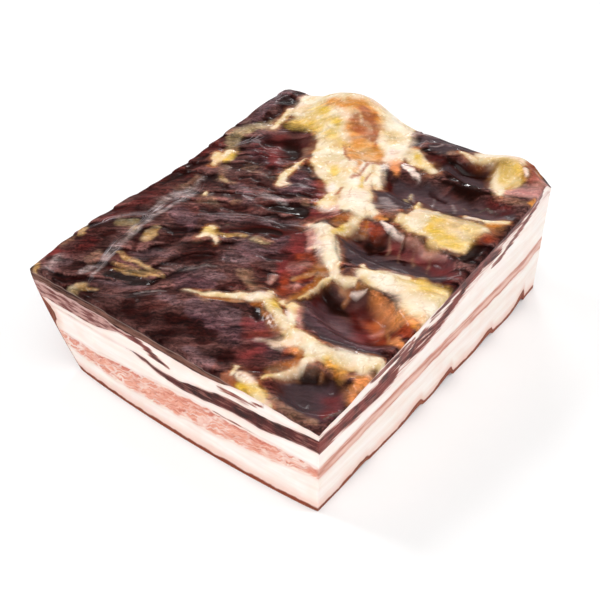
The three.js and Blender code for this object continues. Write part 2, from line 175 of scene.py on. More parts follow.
# Where each tissue lies, as chains of places with the width there: (x, y, width)
CHAINS = {
    # The hollow floors: lean with a painted grey reflection over it
    "slate_sheen": [
        [(23, 4, 8), (29, 1, 14), (37, -1, 17), (46, 2, 17), (56, 5, 13), (66, 7, 9)],
        [(54, -68, 14), (60, -71, 20), (66, -74, 14)],
        [(9, 36.5, 4), (14, 35.5, 6), (19, 35, 8), (24, 40, 8)],
        [(20, 30, 7), (24, 32, 8), (28, 37, 8), (33, 32, 5)],
        [(14, 83, 8), (24, 84, 8), (34, 85, 7)],
        [(9, 79, 4), (9.5, 74, 5)],
        [(20, 47, 9), (30, 50, 10), (42, 50, 11), (54, 51, 11), (66, 52, 9)],
        [(50, 9, 8), (60, 12, 10), (67, 8, 8)],
        [(33, -41, 5), (40, -44.5, 6), (50, -46.5, 6.4), (60, -47, 6), (69, -45, 5)],
        [(26, 67.5, 4), (34, 67.4, 6), (42, 69, 6), (49, 69.6, 4)],
        [(16, 77, 5), (24, 78, 6), (32, 80, 4)],
    ],
    # Purple lean, partly painted sheen
    "plum_and_sheen": [
        [(34, -34, 10), (42, -37, 16), (50, -38, 16), (58, -40, 10), (66, -42, 7)],
        [(62, -65, 6), (68, -70, 8), (69, -77, 8)],
        [(22, -56, 6), (28, -59, 8), (35, -64, 8)],
        [(0, -62, 12), (10, -62, 14), (20, -65, 10)],
        [(-16, -54, 8), (-6, -51, 7)],
        [(-20, 24, 9), (-14, 21, 10), (-20, 16, 7)],
        [(-50, 31, 8), (-45, 28, 8), (-37, 29, 6)],
        [(-71, 84, 6), (-69, 66, 7), (-68, 46, 6)],
        [(-46, -24, 9), (-38, -26, 8)],
        [(0, -12, 8), (5, -16, 8), (2, -24, 8), (-8, -26, 8)],
        [(55, -50, 2), (64, -45, 3)],
    ],
    # Painted sheen on the lean and in the hollows
    "mauve_sheen": [
        [(-70, 80, 4), (-69, 70, 4), (-68, 56, 4)],
        [(-53, 45, 4), (-54, 37, 4)],
        [(-40, 5, 5), (-33, 4, 6), (-27, 0, 5)],
        [(-38, -20, 3), (-29, -15, 5), (-20, -10.5, 5.5), (-12, -7, 5), (-4, -3, 4), (3, 1, 3)],
        [(-20, 8, 3), (-14, 9, 3)],
        [(-17, 24, 5), (-13, 22, 4)],
        [(-12, -24, 5), (-4, -24, 6)],
        [(-48, -25, 5), (-40, -24, 5)],
        [(-62, -74, 5), (-64, -78, 4)],
        [(-44, -54, 4), (-36, -48, 4), (-28, -44, 3)],
        [(-42, -73, 4), (-34, -70, 4), (-26, -66, 3)],
        [(-10, -33, 6), (-2, -31, 5)],
        [(-14, -48, 5), (-6, -44, 5)],
        [(-4, -63, 6), (6, -60, 7), (14, -58, 6)],
        [(22, -56, 3), (30, -58, 3)],
        [(-16, -66, 4), (-8, -65, 4)],
        [(12, -81, 4), (22, -81, 4)],
        [(34, 52, 3), (46, 52, 4), (58, 52, 4), (66, 50, 4)],
        [(40, 17, 3), (50, 18, 3.4), (60, 17, 3)],
        [(25, 28, 4), (28, 31, 4)],
        [(44, -35, 5), (54, -36, 4)],
        [(6, 84, 6), (14, 85, 4)],
        [(24, 83, 2), (23, 80, 2)],
        [(62, 66, 5), (66, 70, 4), (69, 76, 4)],
        [(24, 46, 5), (34, 48, 6), (46, 49, 5)],
    ],
    # Pale strands of skin, and patches of painted sheen
    "haze_and_sheen": [
        [(21, 33, 4), (25, 29, 6), (28, 27, 5)],
        [(3, 85, 5), (9, 85, 5)],
        [(-55, -6, 3), (-57, -13, 4), (-58, -20, 4), (-57, -26, 4)],
        [(-53, -73, 3), (-51, -68, 2)],
        [(-67, -74, 4), (-66.5, -78, 3)],
        [(-25, 7, 3), (-20, 7, 3), (-14, 7.5, 3)],
        [(-45, -5.5, 2.5)],
        [(15, 76.5, 0.8), (20, 79.5, 0.8)],
        [(-56, 0, 2), (-53, -8, 2), (-52, -20, 2), (-54, -31, 2.4), (-53.5, -45, 2.4), (-51, -60, 2),
         (-47, -72, 1.6)],
        [(-28, -54, 0.8), (-23, -50.7, 1.1), (-17, -45.7, 1.1), (-11, -40.6, 0.8)],
        [(-26, -70, 0.8), (-21.5, -66.7, 1.1), (-17.5, -62.5, 0.9)],
        [(24, 48.6, 0.6), (27, 45.4, 0.9), (29, 41.6, 0.5)],
        [(33, 52, 0.6), (36, 48, 1), (38, 44.6, 0.5)],
        [(43, 52.4, 0.6), (46, 49, 1), (47.6, 46, 0.5)],
    ],
    "maroon": [
        [(-48, 44, 12), (-46, 36, 16), (-38, 44, 12), (-36, 38, 12), (-42, 34, 10)],
        [(-70, 24, 6), (-69, 27, 4), (-73, 22, 4), (-71, 17, 4)],
        [(-68, -20, 8), (-66, -26, 8), (-66, -34, 5), (-70, -38, 5), (-68, -46, 6)],
        [(-63, -60, 6), (-64, -66, 6)],
        [(58, 57, 5), (66, 56, 6)],
        [(46, -24, 5), (49, -28, 5), (52, -31, 5)],
        [(8, -12, 5), (10, -17, 6), (12, -25, 5), (14, -29, 5)],
        [(69, 6, 3), (70, 2, 3)],
        [(-73, 14, 3), (-73, 5, 3), (-72.5, -6, 3), (-72.5, -15, 3)],
    ],
    "wine": [
        [(-11, 27, 5), (-7, 24, 4), (-5, 20, 4), (-5, 17, 3)],
        [(1, 9, 6), (6, 10, 6), (9, 8, 5)],
        [(36, 15, 4), (44, 16.5, 4), (52, 16, 4), (60, 15, 4)],
        [(57, -31, 5), (56, -36, 4)],
        [(22, -57, 6), (27, -58, 6), (30, -61, 5)],
        [(34, -66, 5), (30, -70, 5)],
        [(66, -66, 4), (69, -70, 4), (71, -76, 3)],
        [(18, -25, 5)],
        [(-47, 47, 3), (-44, 37, 6), (-40, 33, 6), (-37, 28, 3), (-37, 24, 3)],
        [(-71, -72, 5)],
        [(5, -6, 5), (8, -13, 7), (11, -23, 7), (15, -30, 5)],
        [(2, 10, 6), (7, 10.5, 7), (10, 9, 5)],
        [(55, 13.4, 4), (63, 12.6, 5), (69, 9, 4)],
        [(4, 13, 5), (7, 15.6, 4), (4, 18.6, 3)],
    ],
    "brown": [
        [(-70, 36, 5), (-71, 40, 4)],
        [(-45, 20.5, 4), (-42, 20, 4)],
        [(-47, 17.5, 1.5), (-40, 17.5, 1.6), (-34, 19, 1.6), (-31, 18.5, 1.4)],
        [(-54, 14, 4), (-51, 10, 4), (-49, 5, 4), (-46, 6, 3), (-42, 6, 3)],
        [(-60, 2, 4), (-58, -4, 4), (-59, -9, 4)],
        [(-44, -10, 6), (-39, -9.5, 4)],
        [(-33, -4.5, 3), (-31, -3, 2)],
        [(-54, -62, 4), (-54.5, -67, 4)],
        [(0, -38, 4), (2, -36, 3)],
        [(-15, -20, 4)],
        [(27, 77, 4), (33, 78, 4)],
        [(60, 61, 5), (66, 62, 6), (70, 63, 4)],
        [(-6, -58, 2), (0, -57, 3)],
        [(50, -81, 3), (58, -82, 2), (70, -81, 3)],
        [(-33, 47, 3), (-30, 43, 4), (-29, 38, 2)],
        [(-8, 14, 4), (-5, 12, 3)],
        [(-9, -18, 2), (-4, -17.5, 2.6), (-2, -16, 2)],
        [(0, -38, 3), (8, -41, 4), (12, -42, 6)],
        [(-72, -62, 4), (-71, -67, 3.4)],
        [(33, 17.6, 0.7), (35, 14, 1), (36.4, 10.6, 0.5)],
        [(39, 17.8, 0.8), (41.4, 13.6, 1), (43, 9.6, 0.5)],
        [(46, 17.4, 0.7), (48, 13.4, 1), (49.6, 9.8, 0.5)],
        [(53, 16.8, 0.8), (55, 13, 0.9), (56.4, 9.4, 0.5)],
    ],
    "olive": [
        [(-58, 54, 3), (-57, 50, 4), (-63, 46, 7), (-64, 40, 8), (-66, 35, 8), (-62, 28, 4)],
        [(-62, -44, 4), (-58, -41, 5), (-56, -42, 4)],
    ],
    # Dark red-brown lean, and painted shade in crevices
    "umber_and_shade": [
        [(-66, 82, 4), (-64.5, 76, 5), (-65, 70, 4)],
        [(-62, 66, 3), (-60.5, 62, 3), (-60, 57, 3), (-64, 58, 4), (-63, 54, 3.5)],
        [(-45, 45, 5), (-40, 45, 9), (-36, 42, 9), (-33, 37, 6)],
        [(-24.5, 37, 4), (-20, 34.5, 6), (-17, 32.5, 5)],
        [(-68, 15, 4), (-67.5, 9, 5), (-67.5, 2, 6), (-68, -6, 5), (-68, -12, 4)],
        [(-44, 25, 5), (-47, 22, 4)],
        [(-35.5, 24, 5), (-34, 21, 5)],
        [(-42, 12, 4), (-38, 15, 3), (-34, 14, 3.5)],
        [(-31, 12, 3), (-24, 12, 3), (-14, 12, 3)],
        [(-42, 1.5, 4)],
        [(-34, -9, 3), (-29, -7, 5), (-26, -5, 3)],
        [(-40, -15, 6), (-36, -15, 4)],
        [(-10, 17.5, 5)],
        [(-18, 2, 5), (-12, 5, 5), (-6, 7, 5), (-3, 6, 4)],
        [(-8, -6, 4), (-2, -5, 4), (3, -3, 3)],
        [(-18, -14, 6), (-12, -13, 7), (-4, -11, 5)],
        [(4, -24, 5), (8, -20, 5)],
        [(-60, -50, 4), (-61, -54, 3)],
        [(-48, -48, 3), (-46, -51, 3)],
        [(-40, -32, 8), (-36, -36, 6), (-42, -42, 6)],
        [(-18, -36, 8), (-20, -36, 8), (-24, -40, 10), (-27, -46, 6)],
        [(-24, -76, 8), (-20, -80, 5), (-14, -78, 9)],
        [(-58, -82, 4), (-54, -81, 4)],
        [(-50, -75, 4)],
        [(2, -46, 3), (-2, -49, 3)],
        [(-6, -72, 6), (2, -70, 6), (12, -72, 8)],
        [(26, -75, 7)],
        [(9, 49, 1.5), (12, 47.5, 3), (14, 45, 4), (15, 42, 3)],
        [(8, 78, 2.5), (9, 74, 3)],
        [(31, 53, 2), (39, 52, 2)],
        [(41, 17, 3)],
        [(46, 10.2, 1.5)],
        [(69, 28, 3), (70, 23, 3), (69.5, 18, 3)],
        [(20, 69, 5), (24, 69, 6), (27, 68, 5)],
        [(-50, 40, 4), (-46, 46, 5), (-40, 49, 5)],
    ],
    # Near-black wet lean, and painted shadow under the hollows' fat lips
    "pitch": [
        [(-43, 46, 4), (-38, 44, 7), (-34, 39, 5)],
        [(30, 57.4, 1.4), (38, 57.6, 2), (46, 58.5, 3), (56, 60.5, 2)],
        [(67, 29, 4), (68, 24, 6), (66, 19.5, 3), (61, 18.6, 1.2)],
        [(30, 14, 4), (27, 11, 4), (31, 7, 3)],
        [(18.5, 3, 1), (20.5, 7.5, 2), (24, 10.5, 2.4)],
        [(33, -25.5, 5), (37, -26.5, 7), (43, -25, 5)],
        [(31, -29, 3), (30, -33, 2.4), (28.6, -37, 1.2)],
        [(47.2, -67, 1.4), (49.5, -63.5, 2), (54, -61.2, 2.6), (59, -60.8, 2)],
        [(-44, -68, 4), (-38, -67.5, 4), (-32, -65, 4), (-26, -62.5, 4)],
        [(17, -49, 3), (20, -52, 4.4), (22, -54, 2)],
        [(-16, 2.5, 5), (-8, 5, 6), (-3, 7.5, 5)],
        [(-35, 24, 3)],
        [(-68, 4, 2.4), (-68, -9, 2.4)],
        [(28, 71.5, 3), (34, 72.5, 4), (42, 73.5, 3.4), (49, 73.5, 3)],
        [(34, 61.6, 3), (41, 62.4, 5), (48, 64, 6), (53, 65, 5)],
    ],
    "cream": [
        [(-50, 87, 22), (-47, 73, 22), (-45, 65, 10)],
        [(-30, 86, 34), (-30, 70, 26), (-27, 60, 14)],
        [(-9, 86, 22), (-4, 76, 17), (2, 66, 13), (7, 59, 8)],
        [(-24, 54, 14), (-15, 44, 20), (-6, 36, 18), (-2, 30, 12)],
        [(0, 44, 12), (6, 32, 14), (11, 24, 15), (17, 22, 10), (22, 21.5, 4)],
        [(0, 24, 6), (0.8, 18, 6), (2.6, 15, 3)],
        [(6, 19, 8), (12, 18.5, 6)],
        [(17, 18, 5), (19, 13, 3.6), (18.4, 8, 3.4), (16.5, 3, 4)],
        [(4, 1.4, 2), (9, 1.4, 5.4), (13.4, 0, 8), (17.6, -4.2, 7), (22, -8.4, 7), (26.4, -12.6, 6),
         (31, -17, 3.4)],
        [(14, -10.6, 1.2), (17, -9.4, 2.6)],
        [(31, -18, 3), (36, -18, 2.4), (40, -16, 2.4)],
        [(41, -11, 6), (47, -11.5, 8), (54, -9.5, 9), (62, -8, 13), (68, -10, 18), (74, -12, 16)],
        [(37, -7.6, 2), (39.5, -8.6, 2)],
        [(45, -7.5, 3), (49, -6, 3), (56, -4, 4)],
        [(31, -20, 1.6), (29.6, -25, 1.8), (28.4, -31, 1.5), (27.6, -36, 1.4)],
        [(-11, -58.5, 0.6), (-4, -55.5, 1.4), (2, -52, 2.2), (8, -49, 3), (12, -47, 4), (18, -45, 4)],
        [(18, -40.5, 2.4), (19, -45, 4), (24, -47, 5.4), (30, -50, 5), (36, -53, 4)],
        [(24, -42, 3), (29, -41.5, 4), (32, -46, 4), (36, -51, 3)],
        [(36, -53.5, 4), (46, -54.5, 5.4), (54, -55, 6), (62, -54, 6), (68, -51.5, 5), (73, -48, 5)],
        [(39, -56.5, 4), (45, -57, 3), (51, -58, 3.4)],
        [(49.6, -59, 2.4), (48, -63.5, 1.6), (45.6, -69, 1.3), (43, -75.5, 1)],
        [(31.5, -77, 1.6), (33, -81, 2)],
        [(36, -79, 4), (41, -80.5, 5), (46, -83, 4), (52, -84.5, 2.4)],
        [(34, 25.5, 5), (40, 25.5, 8), (48, 26, 10), (56, 25.5, 10.5), (61.5, 25, 9)],
        [(38, 33, 7), (48, 34, 8), (58, 35, 9), (64, 37, 7)],
        [(31.5, 42, 1.2), (33.5, 37, 2.4), (37, 33, 3)],
        [(41, 42, 1.2), (43, 37, 2)],
        [(53, 45, 2.4), (58, 44.5, 3.4), (64, 44, 3), (69.5, 47, 2.4)],
        [(4, 50, 3), (7, 46, 4), (10, 42.5, 4), (13.5, 38, 2.4)],
        [(9, 66.5, 5), (13, 66, 7), (17, 63.5, 8), (22, 62, 6), (26.5, 61, 4)],
        [(40, 83.5, 8), (46, 84, 9), (54, 83, 8), (60, 84, 5)],
        [(51, 76, 5), (54, 71, 7), (57, 66, 6), (57.6, 63, 2.4)],
        [(56, 76, 8), (60, 72, 6)],
        [(-60.5, 25, 3.6), (-60, 18, 5), (-60, 13, 2.4)],
        [(-64, 20, 3), (-62.5, 16, 3)],
        [(-26.5, 39, 1), (-26.5, 33, 1.6), (-27, 27, 2.4), (-26.5, 22, 3.6), (-24.5, 18.5, 4.6),
         (-22, 19, 2.4)],
        [(-57, 66, 5), (-55, 58, 2.4), (-55, 50, 1.4)],
        [(-28.5, -23, 3), (-27.5, -27, 3.4), (-28, -31, 1.6)],
        [(-25.5, -26, 2.6), (-22, -28, 1.8), (-19.6, -30.4, 0.7)],
        [(-48.5, -6, 2), (-47.5, -7.5, 1.6)],
        [(-22, 66, 16), (-12, 60, 16), (-4, 54, 12)],
        [(38, 30, 6), (50, 30.5, 7), (62, 31, 7)],
        [(30, 78.4, 1.6), (36, 79, 2.4), (44, 80, 3)],
    ],
    # Whiter fat, partly painted highlight
    "white": [
        [(-57, 84, 6), (-56, 74, 4)],
        [(-16, 86, 10), (-7, 83, 10), (1, 77, 7)],
        [(-5, 68, 4), (1, 63, 5), (6, 57, 4), (6, 50, 3), (10, 43, 3)],
        [(-4, 28, 4)],
        [(7, 30, 5), (12, 25, 9), (16, 22, 9), (22, 21, 3)],
        [(9, 1, 3.6), (14.4, -2, 5.4), (20, -7.4, 5.6), (26, -12.4, 4)],
        [(42, 85, 6)],
        [(12, -47, 3), (18, -43, 2)],
        [(53, 71, 3), (56, 65, 4)],
        [(62, -14, 5), (69, -15, 8), (74, -14, 6)],
        [(58, -52, 2.4), (66, -51, 4), (70, -53, 3)],
        [(40, -54, 3), (48, -55, 3)],
        [(-3, 48, 7), (4, 37, 10), (10, 27, 11), (16, 22, 8)],
        [(-2, 82, 7), (4, 73, 7), (7, 64, 5)],
        [(41, -12, 4), (50, -11, 5), (58, -12, 4)],
    ],
    "blush": [
        [(-27, 68, 5), (-23, 69, 4)],
        [(11.4, -4, 3), (15.4, -8, 3), (19.6, -11.4, 2.4)],
        [(-25, 86, 6), (-20, 82, 6)],
        [(2, 66, 3), (8, 58, 4)],
        [(2.6, 14.6, 4), (7, 16.6, 2.4)],
        [(36, -60, 4), (41, -57.6, 3)],
        [(36, -79, 3), (40, -79, 3)],
        [(29, -44, 2), (32, -48, 2)],
        [(55, 44.5, 3), (59, 44, 2)],
        [(48, 84, 5), (54, 84, 5), (57, 81, 4)],
        [(38, -57, 1.8), (33, -60, 1.1), (28, -62.6, 0.6)],
    ],
    "beige": [
        [(38, 38, 5), (44, 37, 7), (52, 37, 8), (60, 37, 9), (66, 38, 5)],
        [(-50, 72, 4), (-49, 66, 5), (-50, 60, 3)],
        [(-46, 88, 8), (-40, 82, 9), (-33, 80, 5)],
        [(-6, 73, 4), (-1, 72, 5), (3, 70, 3)],
        [(46, 80, 3), (56, 80, 3)],
        [(10, 67, 3), (9, 64, 3)],
        [(24.5, 47.5, 0.8), (26.5, 43.5, 1)],
        [(25.5, 41, 1), (27, 38.5, 1)],
        [(32, 42, 1.4), (35, 36, 2)],
        [(-49, -84, 2), (-46, -82, 3), (-45, -79, 1.6)],
        [(-11, -58.5, 0.8), (-4, -55.5, 1.4), (2, -52, 2)],
        [(-9, -19.6, 1), (-5, -18.6, 1.6), (-2, -17, 0.9)],
    ],
    "butter": [
        [(-48, 59.5, 4), (-41, 61, 7), (-35, 60, 5)],
        [(-36, 65, 5), (-28, 64, 5)],
        [(-30, 58.5, 4), (-24, 57.5, 4), (-19, 56, 4)],
        [(-44, 70, 5), (-38, 68, 6)],
        [(52, 77, 4), (57, 75.5, 8), (61, 72, 5)],
        [(48, 27, 7), (54, 26, 10), (61, 25.5, 8)],
        [(46, 32, 4), (54, 32, 4), (63, 33.5, 4)],
        [(61, -4.5, 8), (67, -5, 9), (70, -6, 6)],
        [(-57.5, 23, 4), (-57, 19, 4)],
        [(15, 66, 4), (18, 63.5, 4)],
        [(38, -84, 3), (43, -82, 4), (48, -82.5, 3)],
        [(-28, -25, 3)],
        [(16, 2, 3), (17.4, 8, 2)],
        [(24, -46, 4), (21, -43, 2)],
        [(56, -56, 3), (63, -56, 3)],
        [(-12, 40, 5), (-8, 36, 4)],
        [(4, 39, 2.4), (7, 33, 2.4)],
    ],
    "honey": [
        [(-40, 74, 4), (-34, 73, 5), (-29, 71.5, 4), (-27, 74, 3.5), (-22, 74, 4.5), (-18, 73, 5)],
        [(-8, 65, 3), (-7, 62, 3)],
        [(-13, 55, 7), (-9, 51, 8), (-5, 57, 11), (0, 56, 8), (3, 54, 4)],
        [(60, 70, 2.5), (61.5, 67, 2)],
        [(67, 85, 1.5), (69, 82, 1.5)],
        [(66, 42, 4), (68.5, 44, 3)],
        [(57, -56.5, 2), (64, -56.5, 2)],
        [(-4, 49, 3), (-3, 44, 1.6), (-1, 39, 1.2)],
        [(72.5, 68, 1.6), (73, 64, 1.6)],
        [(65, -20.5, 4), (71, -22, 4)],
        [(28, 23, 1.6), (25.4, 21, 2)],
        [(-19, 65, 9), (-12, 60, 11), (-5, 61, 8), (0, 57, 6)],
        [(-30, 76, 4), (-24, 77, 6), (-16, 76, 6), (-10, 73, 5)],
    ],
    "apricot": [
        [(9, 57, 4), (11, 54, 4), (14, 51, 3)],
        [(51, -18.6, 3), (56, -19.4, 5), (61, -20.6, 5), (63, -23, 3)],
        [(56, -24, 4), (59, -27, 3)],
        [(66, -23, 4), (70, -21, 4)],
        [(44, -58, 2.4), (41, -58.5, 2)],
        [(71.6, -56, 5), (71, -61, 5), (73, -65, 3)],
        [(70, -33, 4), (73, -34, 3)],
        [(24, 20, 2.4), (26, 22, 1.6)],
    ],
    "sienna": [
        [(-14.5, 76, 2.6), (-16, 72, 7), (-13, 67.5, 7), (-19, 66, 5), (-21, 70, 5)],
        [(-6.5, 65, 2.4), (-5, 62, 2.4)],
        [(0, 50, 2), (0, 46, 1.8), (1, 40, 2.4), (0.5, 35, 1.4)],
        [(-18, 54.6, 1.3), (-13, 50, 1.4), (-8, 46.4, 1.3)],
        [(0.6, 28, 2), (1.2, 25, 2.6)],
        [(4.5, 46, 1), (5.5, 42, 1.4), (6.5, 38, 1.4)],
        [(31, -83, 2.4), (36, -83, 2.4)],
        [(27, 24, 1.4), (31, 25, 1.2)],
        [(36, -80, 0.8), (35, -76, 0.8)],
        [(26, -43, 1), (29, -47, 0.8)],
        [(-22, 75, 3), (-17, 73, 6), (-11, 70, 6), (-9, 66, 4)],
    ],
    # Dusky pink lean, and painted rosy highlights
    "coral_and_highlight": [
        [(6, -2, 2), (9, -5, 2.4), (13, -9, 2)],
        [(31, -41, 2), (35, -46, 2.4), (40, -50, 1.6)],
        [(6, 16, 2.4), (9, 13.6, 2.4)],
        [(22.5, -30.5, 3), (23.5, -32.5, 2)],
        [(18, -20.6, 3), (15.5, -22.6, 3.4)],
        [(12, -33, 2.6), (13, -36, 2)],
        [(42, 19.4, 1.4), (52, 18.6, 1.6), (59, 17.6, 1.2)],
        [(63.5, 81.6, 2)],
        [(48, -86, 1.5), (52, -83, 1)],
        [(11, 58.4, 1.6), (16, 59.6, 1.2)],
        [(-72.5, -75.5, 2)],
        [(59.6, -26, 1.6), (58, -30, 1.6)],
        [(61, 65, 4), (66, 68.5, 7), (71, 73, 8), (73, 80, 5)],
        [(3.4, 2, 1.6), (7.8, -2, 3), (11, -6.6, 3.4), (14, -11.4, 2.6)],
        [(13.9, -25.4, 1.2), (16.4, -22.2, 2), (19, -19, 1.6)],
        [(19.2, -34.5, 1.4), (20.7, -31.4, 2)],
    ],
    "rust": [
        [(19.4, -15, 2), (16, -14.6, 4), (13.6, -17.6, 4)],
        [(17, -31, 4), (20, -34.6, 5), (21, -37.6, 4)],
        [(21, -21, 3), (23, -24, 5), (22, -27, 3)],
        [(53, -24, 5), (57, -26, 4)],
        [(61, -30, 4), (64, -33, 5.4), (66, -31, 3.4)],
        [(70, -26, 6), (73.4, -28, 3)],
        [(68, 39, 3.6), (69.5, 36, 3.6), (69, 33, 3.6)],
        [(62, 85, 5), (66, 82, 6), (68, 78, 5), (67, 75, 3)],
        [(23.6, 16, 4), (27, 15.6, 3), (29, 17, 2)],
        [(41, -60, 2.4)],
        [(26, -60, 1.6), (31, -57.4, 1.6)],
        [(22.4, -35, 2.6), (24.6, -32.6, 3), (26.4, -30, 2)],
    ],
    "garnet": [
        [(20, 68.5, 4), (25, 69, 5)],
        [(12, -20, 4)],
        [(22, -23.6, 3), (24, -25.6, 3)],
        [(40, -73, 2.6), (36, -74, 3.4), (34, -77, 1.6)],
        [(24, -63, 2.4), (28, -61, 2), (33, -58, 1.6)],
        [(50, 15.7, 0.8), (56, 15.5, 0.8)],
        [(-21, -20.6, 3), (-16, -16.8, 6), (-10, -13.4, 7), (-4, -9.4, 5), (1, -5.6, 2.4)],
        [(68, 2, 2)],
        [(59, -34, 2), (63, -36, 3.4), (67, -36, 2)],
        [(44, -22.4, 2), (48, -27, 4), (53, -30, 3)],
        [(13.6, 45, 3.4), (15, 43, 3)],
        [(40, -21.6, 2), (46, -22, 3), (52, -22.6, 3)],
        [(33, -33, 2), (31.4, -29, 2)],
    ],
    "amber": [
        [(15.4, 14.4, 3.4), (14.4, 11, 5), (12.6, 7, 3.4)],
        [(24, -17.6, 4), (27, -20, 4), (28, -25, 2.4), (27, -30, 2.4), (26, -36, 3), (25.4, -41, 2.4)],
        [(36, -20.4, 1.8), (40, -19.8, 2.4), (39, -22.6, 1.6)],
        [(42, -16.2, 1.6)],
        [(61, -25, 1.4), (65, -30, 1.2), (67.5, -33.6, 0.8)],
        [(46.4, -58.4, 2.6), (46.6, -62, 2.8), (44.6, -67, 2), (42.4, -72, 1.3)],
        [(56.4, -60.4, 1.4)],
        [(-4, -57, 0.8), (3, -54.4, 1.6), (8, -51.6, 1.8), (12, -50, 1.2)],
        [(15, -48.6, 1.6), (19, -48.2, 2), (21.5, -50.6, 2), (26, -53.2, 1.8), (31, -54.6, 1.5),
         (36, -53.8, 1)],
        [(23.4, 13, 2), (22.6, 16, 2.4)],
        [(4, 53.4, 2.6), (-2, 52, 2.6)],
        [(61, -59.2, 1), (66, -58.2, 1), (70, -54.8, 1.4)],
        [(65, 87, 1.2), (67, 82, 1.2)],
        [(19.8, -27.8, 2), (22.2, -23.2, 3), (25.3, -18.2, 2.4)],
    ],
    # Dark wet lean, and painted shadow under the hollows' fat lips
    "tar_and_shadow": [
        [(34, 58, 1.4), (44, 58.4, 2.4), (54, 60.6, 2)],
        [(68, 28, 4), (68.4, 23, 4.6), (65, 19.4, 1.6)],
        [(27, 12, 3.4), (31, 9, 3), (32, 14.6, 2.4)],
        [(32, -25.6, 3), (37, -26, 5), (41, -24.6, 3)],
        [(19, -51, 3), (21, -53, 2)],
        [(50, -62.6, 1.4), (55, -61.2, 1.8)],
        [(-42, -67.6, 2.6), (-36, -66.6, 3), (-28, -63.6, 2.6)],
        [(-15, 3, 3), (-8, 5, 4), (-3, 7, 3)],
        [(30, 72, 1.6), (36, 73, 2)],
        [(38, 62, 2.6), (45, 63.4, 4), (51, 64.6, 3)],
        [(-20, -19, 1.8), (-15, -16, 4), (-9, -12.6, 4.4), (-3, -8.8, 2.6)],
    ],
    "ochre": [
        [(-47, -36, 3.6), (-46, -40, 5.4), (-45.5, -44, 3.6)],
        [(-49, -57.5, 2), (-40, -57.5, 2.6), (-32, -57, 2), (-24, -57, 1.4)],
        [(-47, -62.5, 1.6), (-40, -62.5, 2.6), (-34, -60.5, 1.8), (-26, -58.5, 1.2)],
        [(-72, -55, 3.4), (-70, -58, 4)],
        [(-73, -80, 3.4), (-70, -83, 3.4)],
        [(50, 32.5, 1.6), (56, 32, 1.6)],
        [(54, 37, 2), (56, 34.4, 2)],
        [(-50, 7, 2.4), (-45, 5.6, 2.4)],
        [(-57, 70, 1.4), (-55.5, 65, 1.4), (-54.5, 60, 1.2)],
        [(-46, -80.5, 3), (-40, -78, 2.4)],
        [(-44, -65, 1), (-37, -64, 1.4), (-30, -61, 1)],
        [(-24, -24.4, 3), (-18.6, -22.6, 3.2), (-13, -19.6, 1.8)],
    ],
    "pearl": [
        [(40.6, -19.4, 0.8), (43.6, -18.4, 1.7), (46.6, -17.4, 0.7)],
        [(-5, 29, 2), (-4, 26, 3.4)],
        [(61.4, 78.6, 1.6), (63.4, 75.6, 1.6)],
        [(13.6, 57, 2), (17, 56.6, 3.4), (21, 55.6, 2.6), (23.6, 55, 1)],
        [(27.6, 20.4, 1.2), (31, 19.8, 2.1), (35, 19, 1.4), (38.6, 18.6, 0.5)],
    ],
    # Painted shade in creases
    "crease_shade": [
        [(48, -16.5, 1.1), (54, -15, 1.4), (59, -16.5, 1), (62, -19, 0.8)],
        [(48, 53, 1), (53, 53, 1), (57, 55.3, 0.8), (63, 54, 0.8)],
        [(19, 0, 0.8), (22, -5, 1), (26, -8, 0.8), (29, -11, 0.8)],
        [(72.3, -70, 0.8), (72, -77, 0.8)],
        [(-33.5, 54.7, 1.2)],
        [(-15.5, 56.3, 1.1)],
        [(-25, -17.7, 1.3)],
        [(-55.8, -2, 0.6), (-54.5, -7, 0.8)],
        [(43, 20.3, 0.6), (52, 20, 0.5), (60, 18.8, 0.6)],
        [(26.6, -38, 0.7), (26, -41.5, 0.8), (28, -45, 0.5)],
    ],
}

# Tissues without folds or fibres
SMOOTH_TISSUES = (
    "slate_sheen", "wine", "butter", "honey", "apricot", "sienna",
    "coral_and_highlight", "rust", "garnet", "amber", "tar_and_shadow", "pearl",
)

# The cream fat thins out at its edge: a brown rim lies round it and a yellow one under its own edge.
# Of each rim: its look, and how far it reaches past the fat, in mm.
FAT_RIMS = [
    (((146, 80, 42), 0.65, 2.4, 1.2, 0.3, 0.0, 0.3, 0.2), 2.0),
    (((214, 178, 124), 0.9, 1.0, 0.5, 0.1, 0.2, 0.25, 0.9), 0.1),
]
FAT_THINS = 0.9

# Bands of silky skin, one of them a painted sheen on the film along the left edge, how far they drift, and
# the strands along them, in mm
SILK = {
    "colour": (196, 184, 186),
    "drift": 2,
    "strand_width": 0.55,
    "strand_length": 24.0,
    "chains": [
        [(-56, 4, 3), (-54, -5, 6), (-54, -14, 8), (-55, -24, 7), (-56, -32, 6), (-54, -44, 6),
         (-54, -52, 5)],
        [(-54, -50, 6), (-52, -58, 5), (-49, -66, 4), (-45, -78, 2.4)],
        [(-56, -32, 6), (-61, -36, 5), (-66, -44, 4), (-70, -52, 3)],
        [(-62, 24, 3), (-60, 31, 4), (-58, 38, 5), (-54.5, 46, 5), (-48, 53, 4), (-40, 56, 3)],
        # Along the left edge: a painted sheen on the film
        [(-74, 84, 4), (-73, 72, 5), (-72, 60, 4)],
        [(-36, -46, 2), (-33, -40, 3), (-30, -33, 2)],
        [(-42, -56, 2), (-32, -52, 3), (-20, -48, 3), (-8, -39, 2)],
        [(-38, -80, 2), (-28, -74, 3), (-18, -65, 2)],
        [(-38, -20, 2), (-30, -14, 3), (-22, -9, 3), (-8, -4.5, 2), (4, 0, 2)],
        [(-36, 2, 3), (-26, 7, 4), (-14, 8, 3)],
        [(10, -32, 3), (13, -36, 2.4)],
    ],
}

